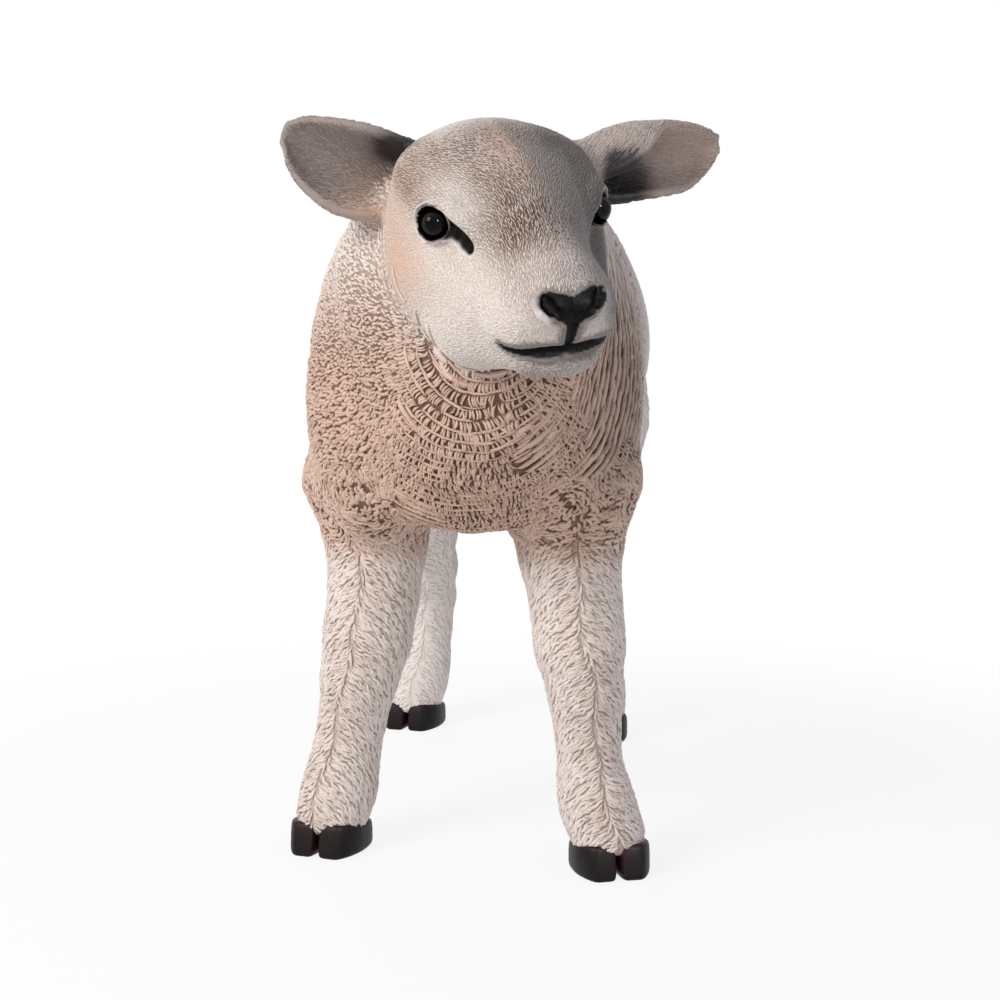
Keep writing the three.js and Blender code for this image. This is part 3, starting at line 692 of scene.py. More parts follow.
# heights, and the turn at each, of the line down a leg's front where its coat parts
PARTING = {"front_right": ((30, 110, 160, 210), (-0.5, -0.3, -0.15, -0.25)),
           "front_left": ((30, 120, 160, 210), (0.35, 0.3, 0.1, 0.2)),
           "hind_right": ((30, 210), (0.0, 0.0)), "hind_left": ((30, 210), (0.0, 0.0))}


def ripple(z):
    """The small turns that the parting takes on its way down."""
    return 0.07 * np.sin(z / 9)


def off_parting(p, name):
    """The turn round a leg from the line where its coat parts."""
    off = leg_round(p, name) - np.interp(p[:, 2], *PARTING[name]) - ripple(p[:, 2])
    return (off + np.pi) % (2 * np.pi) - np.pi


def lie(p, n, belongs):
    """Which way the coat lies at each point, along the surface."""
    x, y, _ = p.T
    u, v, _ = to_head(p).T
    side = np.sign(x - TRUNK_MIDDLE)
    down_back = np.stack([0.5 * side, np.full_like(x, 0.45), -np.ones_like(x)], 1)
    away = slope(p, row, 0.6)[0]
    far_back = smooth(y, -20, 70)[:, None]
    flow = away * (1 - far_back) + down_back * far_back
    total = belongs["neck"][:, None] * flow
    total = total + belongs["torso"][:, None] * flow
    total = total + belongs["tail"][:, None] * vec(0, 0.15, -1)
    across = through(np.clip(u, -60, 90), [-60, -20, 15, 45, 90], [-1.3, -0.9, -0.3, 0.35, 0.6])
    local = np.stack([np.ones_like(u), np.sign(v) * across * smooth(np.abs(v), 0, 5), np.zeros_like(u)], 1)
    total = total + belongs["head"][:, None] * (local @ AXES)
    for i, e in enumerate(EARS):
        along, up, _, _ = ear_frame(e)
        turn = np.clip(ear_place(p, e)[2], -1.5, 1.5)[:, None]
        total = total + belongs["ear", i][:, None] * (along + up * 0.9 * turn)
    for name in LEGS:
        round_, off = leg_round(p, name), off_parting(p, name)
        lean = np.interp(np.abs(off), [0, 0.5, 1.2, 2.2, 3.2], [1.05, 0.85, 0.45, 0.15, 0.0])
        lean = lean * np.clip(off / 0.10, -1, 1)
        flow = np.stack([np.sin(lean) * np.cos(round_), np.sin(lean) * np.sin(round_), -np.cos(lean)], 1)
        total = total + belongs["leg", name][:, None] * flow
    total = total - (total * n).sum(1, keepdims=True) * n
    return total / (np.linalg.norm(total, axis=1, keepdims=True) + 1e-6)


# ---------------------------------------------------------------- carved locks
def turned(d, n, angle):
    """Directions d turned in the surface, about the outward directions n."""
    return d * np.cos(angle)[:, None] + np.cross(n, d) * np.sin(angle)[:, None]


def combed(roots, length, steps_, wave, lean, tuck):
    """Walks from each root along the lie of the coat. wave(i) is the extra turn at step i, and tuck is how
    many steps the root reaches back under its neighbours."""
    p, n = onto_skin(roots, 1)
    path, out, ways = [p], [n], []
    for i in range(steps_):
        d = turned(lie(p, n, shares(parts(p))), n, wave(i) + lean)
        ways.append(d)
        p, n = onto_skin(p + d * (length / steps_)[:, None], 1)
        path.append(p)
        out.append(n)
    path[0] = path[0] - ways[0] * (tuck * length / steps_)[:, None]
    return np.stack(path, 1), np.stack(out, 1), np.stack(ways + [ways[-1]], 1)


# a lock's section from edge to edge: across and up
ROUND = [(1, 0), (0.7, 0.75), (0, 1), (-0.7, 0.75), (-1, 0)]
KEEL = [(1, 0), (0, 1), (-1, 0)]
ROOT_RISE, TIP_RISE = 0.4, 0.75     # how far a lock's two ends stand out of the recesses


def locks(path, out, ways, width, height, fullness, section, bury=0.5):
    """A closed, tapered lock along each path: its back stands up, its two edges sink into the skin."""
    count, stations = path.shape[:2]
    k, m = len(section), stations - 2
    side = np.cross(out, ways)[:, 1:-1, None]
    wide, tall = np.array(fullness[1:-1]).T
    across, up = np.array(section).T
    half, high = width[:, None] / 2 * wide, height[:, None] * tall
    rings = (path[:, 1:-1, None] + side * (half[:, :, None] * across)[..., None]
             + out[:, 1:-1, None] * (high[:, :, None] * up - bury * (up == 0))[..., None])
    root = path[:, :1] - out[:, :1] * bury
    tip = path[:, -1:] + out[:, -1:] * height[:, None, None] * fullness[-1][1]
    corners = np.concatenate([root, rings.reshape(count, m * k, 3), tip], 1)
    faces, end = [], 1 + k * m
    for c in range(k):
        c2 = (c + 1) % k
        faces += [(0, 1 + c2, 1 + c), (end - k + c, end - k + c2, end)]
        for a in range(1, end - k, k):
            faces += [(a + c, a + c2, a + k + c2), (a + c, a + k + c2, a + k + c)]
    rise = [ROOT_RISE] + list(np.tile(up, m)) + [TIP_RISE]
    local = [(0.5, 0)] + [(0.5 + a / 2, (i + 1) / (m + 1)) for i in range(m) for a in across] + [(0.5, 1)]
    return corners, np.array(faces), np.array(rise), np.array(local)


def scattered(skin, weight, gap, rng, crowd=4):
    """Points strewn over the skin where weight is above 0, about crowd of them to a square of the gap."""
    corners, faces, areas, middles = skin
    share = areas * weight(middles)
    count = int(crowd * share.sum() / gap**2)
    pick = rng.choice(len(faces), count, p=share / share.sum())
    a, b = rng.random((2, count, 1))
    a = np.sqrt(a)
    tri = corners[faces[pick]]
    points = tri[:, 0] * (1 - a) + tri[:, 1] * a * (1 - b) + tri[:, 2] * a * b
    return points.astype(np.float32)


def spaced(points, gap):
    """Picks points in turn, passing over any closer than the gap to one picked before."""
    tree = KDTree(len(points))
    for i, point in enumerate(points):
        tree.insert(point, i)
    tree.balance()
    free = np.ones(len(points), bool)
    kept = []
    for i, point in enumerate(points):
        if free[i]:
            kept.append(i)
            for _, j, _ in tree.find_range(point, gap):
                free[j] = False
    return points[kept]


# where each part's unwrap starts along it and how much it takes in, and the line that it is rolled round
UNWRAP = dict(face=(-100, 210), neck=(190, 290), trunk=(-100, 520), leg=(0, 290))
NECK_LINE, TRUNK_LINE = (10, 60), 330


def unwrapped(p, region):
    """A place on a flat unwrap of the skin: rolled off the part that it grows on."""
    x, y, z = p.T
    if region != "ear":
        start, span = UNWRAP[region]
    if region == "face":
        u, v, w = to_head(p).T
        return np.stack([np.arctan2(v, w) / (2 * np.pi) + 0.5, (u - start) / span], 1)
    if region == "neck":
        turn = np.arctan2(x - NECK_LINE[0], NECK_LINE[1] - y)
        return np.stack([turn / (2 * np.pi) + 0.5, (z - start) / span], 1)
    if region == "trunk":
        turn = np.arctan2(x - TRUNK_MIDDLE, z - TRUNK_LINE)
        return np.stack([turn / (2 * np.pi) + 0.5, (y - start) / span], 1)
    if region == "leg":
        rounds = np.stack([leg_round(p, name) for name in LEGS], 1)
        middles = [leg_middle(z, name)[:2] for name in LEGS]
        which = np.stack([np.hypot(x - at_x, y - at_y) for at_x, at_y in middles], 1).argmin(1)
        turn = rounds[np.arange(len(p)), which] / (2 * np.pi) + 0.5
        return np.stack([(which + 0.02 + 0.96 * turn) / len(LEGS), (z - start) / span], 1)
    left = (x > BETWEEN_EARS).astype(int)
    found = [ear_place(p, e) for e in EARS]
    share, turn, off = (np.where(left, found[1][k], found[0][k]) for k in (1, 2, 3))
    half = np.clip(turn, -1, 1) * 0.22 + 0.25
    return np.stack([(left + (off > 0) * 0.5 + half) / 2, 0.04 + 0.9 * share], 1)


PATCH = 0.003                   # how much of the unwrap one lock takes
MARGIN = 0.0025                 # and how far its middle stays from the unwrap's edges


def add_piece(name, mesh, material):
    """Puts a mesh in the scene as a smooth piece of the lamb."""
    mesh.polygons.foreach_set("use_smooth", np.ones(len(mesh.polygons), bool))
    mesh.materials.append(material)
    piece = bpy.data.objects.new(name, mesh)
    bpy.context.scene.collection.objects.link(piece)
    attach(piece, "root")
    return piece


def coat_piece(name, region, roots, made, tone, material):
    """Joins the locks into one mesh, painted as the skin is at their roots. The tone is how much of the
    glaze was wiped off each lock's crest."""
    corners, faces, rise, local = made
    count, each = corners.shape[:2]
    mesh = bpy.data.meshes.new(name)
    all_faces = (faces[None] + (np.arange(count) * each)[:, None, None]).reshape(-1, 3)
    mesh.vertices.add(count * each)
    mesh.vertices.foreach_set("co", in_frame(corners.reshape(-1, 3)).astype(np.float32).ravel())
    mesh.loops.add(all_faces.size)
    mesh.loops.foreach_set("vertex_index", all_faces.ravel().astype(np.int32))
    mesh.polygons.add(len(all_faces))
    mesh.polygons.foreach_set("loop_start", np.arange(0, all_faces.size, 3, dtype=np.int32))
    mesh.update(calc_edges=True)
    masks, ink = paint(roots, shares(parts(roots)))
    add_paint(mesh, np.repeat(masks, each, 0), np.repeat(ink, each), rise[None] * tone[:, None])
    place = MARGIN + (1 - 2 * MARGIN) * np.clip(unwrapped(roots, region), 0, 1)
    uv = (place[:, None] + (local[None] - 0.5) * PATCH).reshape(-1, 2)
    layer = mesh.uv_layers.new(name="OFBake")
    layer.data.foreach_set("uv", uv[all_faces.ravel()].astype(np.float32).ravel())
    add_piece(name, mesh, material)
    print(name, count, "locks", len(all_faces), "triangles")


# the modeller's frame sits in the library's frame by the middle of the two eyes
EYES = [(np.array(a) + np.array(b)) / 2 for a, b in (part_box("eye_right"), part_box("eye_left"))]
SHIFT = (EYES[0] + EYES[1]) / 2 * 1000 - from_head([[EYE_AT[0], 0, EYE_AT[2]]])[0]
SHIFT[2] = 0


def in_frame(p):
    return (p + SHIFT) / 1000


# ---------------------------------------------------------------- colours and finishes
def linear(code):
    """An sRGB hex colour as linear values."""
    levels = [int(code[i:i + 2], 16) / 255 for i in (0, 2, 4)]
    return [c / 12.92 if c <= 0.04045 else ((c + 0.055) / 1.055) ** 2.4 for c in levels] + [1.0]


def add_node(tree, kind, settings=None, **inputs):
    """Adds a node. Settings are its own properties. An input goes by its name, or by i and its number; it
    is a value, an sRGB hex colour or the socket that feeds it."""
    made = tree.nodes.new(kind)
    for key, value in (settings or {}).items():
        setattr(made, key, value)
    for key, value in inputs.items():
        numbered = key[0] == "i" and key[1:].isdigit()
        socket = made.inputs[int(key[1:]) if numbered else key.replace("_", " ")]
        if isinstance(value, bpy.types.NodeSocket):
            tree.links.new(value, socket)
        else:
            socket.default_value = linear(value) if isinstance(value, str) else value
    return made


# kinds of node with their settings, as add_node takes them
BLEND = ("ShaderNodeMix", dict(data_type="RGBA"))       # from colour i6 to colour i7 by the share i0
EASE = ("ShaderNodeMapRange", dict(interpolation_type="SMOOTHSTEP"))
PLUS = ("ShaderNodeMath", dict(operation="ADD"))
MINUS = ("ShaderNodeMath", dict(operation="SUBTRACT"))
TIMES = ("ShaderNodeMath", dict(operation="MULTIPLY"))
TIMES_TO_ONE = ("ShaderNodeMath", dict(operation="MULTIPLY", use_clamp=True))
LARGER = ("ShaderNodeMath", dict(operation="MAXIMUM"))
ABOVE = ("ShaderNodeMath", dict(operation="GREATER_THAN"))
BELOW = ("ShaderNodeMath", dict(operation="LESS_THAN"))


def new_material(name):
    material = bpy.data.materials.new(name)
    material.use_nodes = True
    tree = material.node_tree
    tree.nodes.clear()
    return material, tree


# the three greys below serve both for grey paint and for painted shade: on the far side of the face, under
# the chin and on the front of the lamb's left side
PAINTS = dict(cream="EFEAE7", tan="D6B9A7", pale="D9D0CA", faint="BCB0A8", warm="AD8F7D", brown="80604F",
              dark="38211A", grey_and_shade_crest="B4ABA9", grey_and_shade_deep="3C3533", grey_and_shade_recess="2A2321",
              blush="DAB09A", ink="090707", speck="6B4A3A")
# in metres: a dab of glaze, and the grain of the sprayed paint and its depth on the skin and on the wool
DAB, GRAIN, SKIN_GRAIN_DEPTH, WOOL_GRAIN_DEPTH = 0.011, 0.0011, 0.0003, 0.0004
# specks: the gap between them in metres, their radius as a share of it, and the share that is left out
SPECK_GAP, SPECK_RADIUS, SPECKS_LEFT_OUT = 0.006, 0.06, 0.6


def painted_resin(name, grain_depth):
    """Cast polyester resin, sprayed cream and brushed with a thin brown glaze that is wiped off the crests.
    To the eye: matt, pale crests over dark recesses, with a soft mottle where the glaze was dabbed."""
    material, tree = new_material(name)
    masks = add_node(tree, "ShaderNodeAttribute", dict(attribute_name="Paint"))
    tan, stain_and_shade, grey_and_shade = add_node(tree, "ShaderNodeSeparateColor", Color=masks.outputs["Color"]).outputs
    ink = add_node(tree, "ShaderNodeAttribute", dict(attribute_name="Ink")).outputs["Fac"]
    rise = add_node(tree, "ShaderNodeAttribute", dict(attribute_name="Rise")).outputs["Fac"]
    place = add_node(tree, "ShaderNodeTexCoord").outputs["Object"]
    dabs = add_node(tree, "ShaderNodeTexNoise", Vector=place, Scale=1 / DAB, Detail=3.0, Roughness=0.6)
    grit = add_node(tree, "ShaderNodeTexNoise", Vector=place, Scale=1 / GRAIN, Detail=4.0,
                    Roughness=0.65).outputs[0]

    # the glaze is left in the recesses and wiped off the crests, not quite evenly
    uneven = add_node(tree, *MINUS, i0=grit, i1=0.5)
    wobble = add_node(tree, *TIMES, i0=uneven.outputs[0], i1=0.5)
    worn = add_node(tree, *PLUS, i0=rise, i1=wobble.outputs[0]).outputs[0]
    raised = add_node(tree, *EASE, Value=worn, From_Min=0.12, From_Max=0.66).outputs[0]
    top = add_node(tree, *EASE, Value=worn, From_Min=0.50, From_Max=1.0).outputs[0]
    dabbed = add_node(tree, *PLUS, i0=0.55, i1=dabs.outputs[0])
    # the stain mask also carries painted shade: on the far side of the face, under the chin, round the mouth
    # and nose, in the ears and on the lamb's left front
    glaze = add_node(tree, *TIMES_TO_ONE, i0=stain_and_shade, i1=dabbed.outputs[0]).outputs[0]
    crest = add_node(tree, *BLEND, i0=tan, i6=PAINTS["cream"], i7=PAINTS["tan"]).outputs[2]
    pale = add_node(tree, *BLEND, i0=tan, i6=PAINTS["pale"], i7=PAINTS["warm"]).outputs[2]
    flank = add_node(tree, *BLEND, i0=glaze, i6=pale, i7=PAINTS["brown"]).outputs[2]
    faint = add_node(tree, *BLEND, i0=tan, i6=PAINTS["faint"], i7=PAINTS["warm"]).outputs[2]
    recess = add_node(tree, *BLEND, i0=glaze, i6=faint, i7=PAINTS["dark"]).outputs[2]
    upper = add_node(tree, *BLEND, i0=top, i6=flank, i7=crest).outputs[2]
    colour = add_node(tree, *BLEND, i0=raised, i6=recess, i7=upper).outputs[2]

    # over it go the grey paint with its painted shade, the blush, the specks and the ink
    deep = add_node(tree, *BLEND, i0=stain_and_shade, i6=PAINTS["grey_and_shade_crest"], i7=PAINTS["grey_and_shade_deep"]).outputs[2]
    grey_and_shaded = add_node(tree, *BLEND, i0=raised, i6=PAINTS["grey_and_shade_recess"], i7=deep).outputs[2]
    blush = add_node(tree, *TIMES, i0=masks.outputs["Alpha"], i1=0.55).outputs[0]
    spots = add_node(tree, "ShaderNodeTexVoronoi", Vector=place, Scale=1 / SPECK_GAP, Randomness=1.0).outputs
    chance = add_node(tree, "ShaderNodeSeparateColor", Color=spots["Color"]).outputs[0]
    small = add_node(tree, *BELOW, i0=spots["Distance"], i1=SPECK_RADIUS).outputs[0]
    rare = add_node(tree, *ABOVE, i0=chance, i1=SPECKS_LEFT_OUT).outputs[0]
    speck = add_node(tree, *TIMES, i0=small, i1=rare).outputs[0]
    speck = add_node(tree, *TIMES, i0=speck, i1=0.75).outputs[0]
    for share, over in ((grey_and_shade, grey_and_shaded), (blush, PAINTS["blush"]), (speck, PAINTS["speck"]),
                        (ink, PAINTS["ink"])):
        colour = add_node(tree, *BLEND, i0=share, i6=colour, i7=over).outputs[2]

    # the ink is glossier than the paint
    smoother, glossier = (add_node(tree, *TIMES, i0=ink, i1=by).outputs[0] for by in (0.27, 0.32))
    rough = add_node(tree, *MINUS, i0=0.62, i1=smoother).outputs[0]
    gleam = add_node(tree, *MINUS, i0=0.4, i1=glossier).outputs[0]
    bump = add_node(tree, "ShaderNodeBump", Strength=1.0, Distance=grain_depth, Height=grit)
    shader = add_node(tree, "ShaderNodeBsdfPrincipled", Base_Color=colour, Roughness=rough,
                      Normal=bump.outputs[0], IOR=1.5, Specular_IOR_Level=gleam)
    add_node(tree, "ShaderNodeOutputMaterial", Surface=shader.outputs[0])
    return material


# how far the pupil and the iris reach round the eyeball from its gaze, in radians, each with a soft edge
PUPIL_EDGE, IRIS_EDGE = (0.42, 0.50), (0.66, 0.80)


def gloss_eye():
    """A cast acrylic eye: a near-black brown iris under a clear dome, so it gives one sharp highlight."""
    material, tree = new_material("cast_acrylic_eye")
    from_pupil = add_node(tree, "ShaderNodeAttribute", dict(attribute_name="Pupil")).outputs["Fac"]
    ring, rim = (add_node(tree, *EASE, Value=from_pupil, From_Min=inner, From_Max=outer).outputs[0]
                 for inner, outer in (PUPIL_EDGE, IRIS_EDGE))
    iris = add_node(tree, *BLEND, i0=ring, i6="020202", i7="1E1815").outputs[2]
    colour = add_node(tree, *BLEND, i0=rim, i6=iris, i7="040303").outputs[2]
    domed = add_node(tree, *MINUS, i0=1.0, i1=rim).outputs[0]
    clear = add_node(tree, *TIMES, i0=domed, i1=0.25).outputs[0]
    shader = add_node(tree, "ShaderNodeBsdfPrincipled", Base_Color=colour, Roughness=0.05, IOR=1.3,
                      Specular_IOR_Level=clear)
    add_node(tree, "ShaderNodeOutputMaterial", Surface=shader.outputs[0])
    return material


STREAK = (0.0025, 0.0025, 0.018)        # metres: a brushed streak's width, depth and length


def black_hoof():
    """Resin painted satin black, brushed once so faint streaks run down the wall."""
    material, tree = new_material("satin_black_paint")
    place = add_node(tree, "ShaderNodeTexCoord").outputs["Object"]
    streak = add_node(tree, "ShaderNodeMapping", Vector=place, Scale=[1 / size for size in STREAK])
    brushed = add_node(tree, "ShaderNodeTexNoise", Vector=streak.outputs[0], Scale=1.0, Detail=4.0).outputs[0]
    wine = add_node(tree, "ShaderNodeAttribute", dict(attribute_name="Wine")).outputs["Fac"]
    black = add_node(tree, *BLEND, i0=brushed, i6="0B090A", i7="1E191A").outputs[2]
    colour = add_node(tree, *BLEND, i0=wine, i6=black, i7="3A161C").outputs[2]
    bump = add_node(tree, "ShaderNodeBump", Strength=0.6, Distance=0.0003, Height=brushed)
    shader = add_node(tree, "ShaderNodeBsdfPrincipled", Base_Color=colour, Roughness=0.45,
                      Normal=bump.outputs[0], IOR=1.3, Specular_IOR_Level=0.35)
    add_node(tree, "ShaderNodeOutputMaterial", Surface=shader.outputs[0])
    return material


# ---------------------------------------------------------------- eyes and claws
def mesh_piece(name, corners, faces, material, node):
    mesh = bpy.data.meshes.new(name)
    mesh.from_pydata(in_frame(np.asarray(corners)), [], [list(map(int, f)) for f in faces])
    piece = add_piece(name, mesh, material)
    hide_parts(node)
    return mesh


GAZE = (0.80, 0.42, 0.42)       # which way the pupil looks, in the head's frame, mirrored
# how much smaller the ball is than its socket, how far its cornea rises, and over how many radians
EYE_SINK, CORNEA_RISE, CORNEA_REACH = 0.15, 0.5, 0.6


def eye(side, material):
    """An eyeball with a slightly domed cornea."""
    bm = bmesh.new()
    bmesh.ops.create_uvsphere(bm, u_segments=48, v_segments=32, radius=1)
    look = np.array(GAZE) * (1, side, 1)
    look = look / np.linalg.norm(look)
    turn = Vector((0, 0, 1)).rotation_difference(Vector(look)).to_matrix()
    bmesh.ops.transform(bm, matrix=turn.to_4x4(), verts=bm.verts)
    unit = np.array([v.co for v in bm.verts])
    faces = [[v.index for v in f.verts] for f in bm.faces]
    bm.free()
    off_pupil = np.arccos(np.clip(unit @ look, -1, 1))
    radius = EYE_RADIUS - EYE_SINK + CORNEA_RISE * np.exp(-(off_pupil / CORNEA_REACH) ** 4)
    corners = from_head(unit * radius[:, None] + np.array(EYE_AT) * (1, side, 1))
    name = "left" if side > 0 else "right"
    mesh = mesh_piece(f"eyeball_{name}", corners, faces, material, f"eye_{name}")
    add_values(mesh, "Pupil", off_pupil)


CLAW = dict(half_length=23.5, half_width=12.1, cleft=0.4, toe_height=22, heel_height=15, lean=4,
            toe_narrowing=0.25, squareness=0.84, inner_squareness=0.15)
# a claw's rings: share of its height, and how far the wall is drawn in
CLAW_LEVELS = [(0, 2.2), (0.03, 1.1), (0.08, 0.4), (0.2, 0), (0.6, 0), (0.85, 0.3), (0.96, 0.8), (1, 1.8)]
CLAW_SIDES = 64


def claw(name, foot, splay, side, material):
    """One half of a hoof: a tapered wall over a flat sole, its inner side flat against the other half."""
    drop = (CLAW["toe_height"] - CLAW["heel_height"]) / (2 * CLAW["half_length"])
    turn = side * 2 * np.pi * np.arange(CLAW_SIDES) / CLAW_SIDES
    out, back = np.cos(turn), np.sin(turn)
    toe = np.maximum(-back, 0) ** 2
    power = np.where(out > 0, CLAW["squareness"], CLAW["inner_squareness"])
    cos, sin = math.cos(math.radians(splay)), math.copysign(math.sin(math.radians(splay)), foot[0])
    rings, wine = [], []
    for level, inset in CLAW_LEVELS:
        width = (CLAW["half_width"] - inset) * (1 - CLAW["toe_narrowing"] * toe * (out > 0))
        a = width * np.sign(out) * np.abs(out) ** power
        b = (CLAW["half_length"] - inset) * np.sign(back) * np.abs(back) ** CLAW["squareness"]
        left = side * (CLAW["cleft"] + CLAW["half_width"] + a)
        back_ = b - CLAW["lean"] * (1 - level) * toe
        z = level * (CLAW["toe_height"] - drop * (b + CLAW["half_length"]))
        rings.append(np.stack([foot[0] + left * cos - back_ * sin, foot[1] + back_ * cos + left * sin, z], 1))
        high = smooth(np.full_like(a, level), 0.4, 0.9)
        wine.append(np.clip(smooth(-a, 7, 11) * (0.25 + 0.75 * high) + smooth(z, 17, 22) * 0.4, 0, 1))
    n = CLAW_SIDES
    faces = [(r * n + i, r * n + (i + 1) % n, (r + 1) * n + (i + 1) % n, (r + 1) * n + i)
             for r in range(len(rings) - 1) for i in range(n)]
    faces += [tuple(range(n))[::-1], tuple((len(rings) - 1) * n + i for i in range(n))]
    which = "inner" if (side > 0) == (foot[0] < 0) else "outer"
    mesh = mesh_piece(f"hoof_{name}_{which}", np.concatenate(rings), faces, material,
                      f"claw_{name}_{which}")
    add_values(mesh, "Wine", np.concatenate(wine))


# ---------------------------------------------------------------- the skin
# lines of the face that have no coat, and how far round them it stays away
SMOOTH_PLACES = [(EYE_OPENING, 1.6), (TEAR_DUCT, 1.2), (MOUTH, 2.0), (NOSTRIL, 2.2),
                 (PHILTRUM, 1.4), (NOSE_PAD, 2.0), (NOSE_STEM, 1.2), (NOSTRIL_RIM, 1.0),
                 (CHEEK_EDGE, 0.2), (LID_FOLD, 0.0)]


def bare(p):
    """1 where the skin shows with no coat: lids, lips and nose."""
    s = mirrored(to_head(p))
    return np.max([near_chain(s, joints, reach + 1.5) for joints, reach in SMOOTH_PLACES], 0)


def make_skin(material):
    """The whole lamb under its coat. Gives its corners and its triangles, with their areas and middles."""
    corners, quads = net(skin_distance, GRID)
    mesh = refined(corners, quads)
    points = onto_skin(read(mesh), 1)[0]
    write(mesh, in_frame(points))
    belongs = shares(parts(points))
    shown = np.clip(bare(points) * belongs["head"], 0, 1)
    legs = sum(belongs["leg", name] for name in LEGS)
    wool = belongs["neck"] + belongs["torso"] + belongs["tail"]
    rise = 0.36 + 0.4 * shown + 0.34 * legs + 0.04 * wool + 0.1 * (belongs["ear", 0] + belongs["ear", 1])
    add_paint(mesh, *paint(points, belongs), rise)
    skin = add_piece("skin", mesh, material)
    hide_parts(*[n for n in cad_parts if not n.startswith(("eye", "claw"))])
    mesh.calc_loop_triangles()
    tris = np.empty(len(mesh.loop_triangles) * 3, np.int32)
    mesh.loop_triangles.foreach_get("vertices", tris)
    tris = tris.reshape(-1, 3)
    print("skin", len(tris), "triangles")
    tri = points[tris]
    areas = np.linalg.norm(np.cross(tri[:, 1] - tri[:, 0], tri[:, 2] - tri[:, 0]), axis=1) / 2
    return points, tris, areas, tri.mean(1)


# ---------------------------------------------------------------- the coat
# each lock's stations from root to tip: how much of its full width and height it has there
LEAF = [(0, 0), (0.85, 0.7), (1.0, 1.0), (0.75, 0.9), (0, 0.25)]
TOOTH = [(0, 0), (0.85, 0.8), (1.0, 1.0), (0.9, 0.95), (0, 0.2)]
PEBBLE = [(0, 0), (1.0, 0.95), (0.9, 1.0), (0, 0.15)]
STRAND = [(0, 0), (0.7, 0.8), (1, 1), (1, 1), (1, 1), (0.7, 0.8), (0, 0.1)]
RINGLET = [(0, 0), (0.8, 0.8), (1, 1), (1, 1), (1, 1), (0.8, 0.9), (0, 0.2)]


def grow(name, region, material, roots, rng, length, width, height, shape, section=ROUND,
         turn=0.0, scatter=0.0, s_bend=0.0, heading=0.0, tuck=0.6):
    """Carves locks from the roots along the lie of the coat. turn is how far each lock curls round."""
    n = len(roots)
    vary = rng.uniform(0.78, 1.22, (3, n))
    lean = heading + rng.normal(0, scatter, n)
    bend = s_bend * rng.choice((-1, 1), n) * rng.uniform(0.4, 1.2, n)
    steps_ = len(shape) - 1

    def wave(i):
        t = i / max(steps_ - 1, 1)
        return turn * (t - 0.5) + bend * math.sin(2 * math.pi * t)

    path, out, ways = combed(roots, length * vary[0], steps_, wave, lean, tuck)
    made = locks(path, out, ways, width * vary[1], height * vary[2], shape, section)
    return coat_piece(name, region, roots, made, rng.uniform(0.82, 1.06, n), material)


def on_rows(points, offset):
    """Slides roots to the nearest row. The offset is a share of a row."""
    for _ in range(3):
        way, size = slope(points, row, 0.6)
        n = slope(points)[0]
        tangent = (way - (way * n).sum(1, keepdims=True) * n) * size
        r = row(points) - offset
        move = tangent * ((np.round(r) - r) / ((tangent**2).sum(1) + 1e-3))[:, None]
        points = onto_skin(points + np.clip(move, -ROW, ROW), 1)[0]
    return points


def patches(p, size, seed):
    """A soft random field from -1 to 1 with patches about this size."""
    rng = np.random.default_rng(seed)
    total = 0
    for _ in range(5):
        way = rng.normal(size=3)
        total = total + np.sin(p @ (way / np.linalg.norm(way)) * (2 * np.pi / size) * rng.uniform(0.7, 1.3)
                               + rng.uniform(0, 2 * np.pi))
    return np.clip(total / 2.2, -1, 1)


def ahead_of_shoulder(p):
    """Where the wool is the neck's and not the trunk's; the two run into each other along a ragged line."""
    return p[:, 1] + 14 * patches(p, 30, 12) + 9 * patches(p, 11, 13) < 8


def scaly(p):
    """Where the neck's wool is small scales with no rows: its right side."""
    return smooth(-p[:, 0] + 0.25 * (p[:, 2] - 300), 14, 42)


def ridged(p):
    """Where the neck's wool lies in smooth ridges along the rows: its left side, and patches elsewhere."""
    left = smooth(p[:, 0], 52, 82) * smooth(p[:, 2], 262, 300)
    return np.clip(left + smooth(patches(p, 55, 5), 0.15, 0.5), 0, 1)


def ringleted(p):
    """Where the wool breaks into ringlets: the tops of the front legs and the foot of the shoulders."""
    return (smooth(p[:, 2], 202, 214) * (1 - smooth(p[:, 2], 246, 262)) * smooth(np.abs(p[:, 0] - 4), 34, 50)
            * (1 - smooth(p[:, 1], 60, 90)))


def within_rims(p):
    """1 on the ears, short of their rims and tips."""
    near = []
    for e in EARS:
        _, share, turn, _ = ear_place(p, e)
        near.append((share < 0.94) & (np.abs(turn) < 0.96))
    return np.where(p[:, 0] > BETWEEN_EARS, near[1], near[0])


def parting(name):
    """Roots close along both sides of the line where a leg's coat parts."""
    z = np.repeat(np.arange(24, 214, 2.2), 2)
    turn = np.interp(z, *PARTING[name]) + ripple(z) + np.tile((-0.05, 0.05), len(z) // 2)
    x, y, radius = leg_middle(z, name)
    points = np.stack([x + radius * np.sin(turn), y - radius * np.cos(turn), z], 1).astype(np.float32)
    return onto_skin(points, 4)[0]


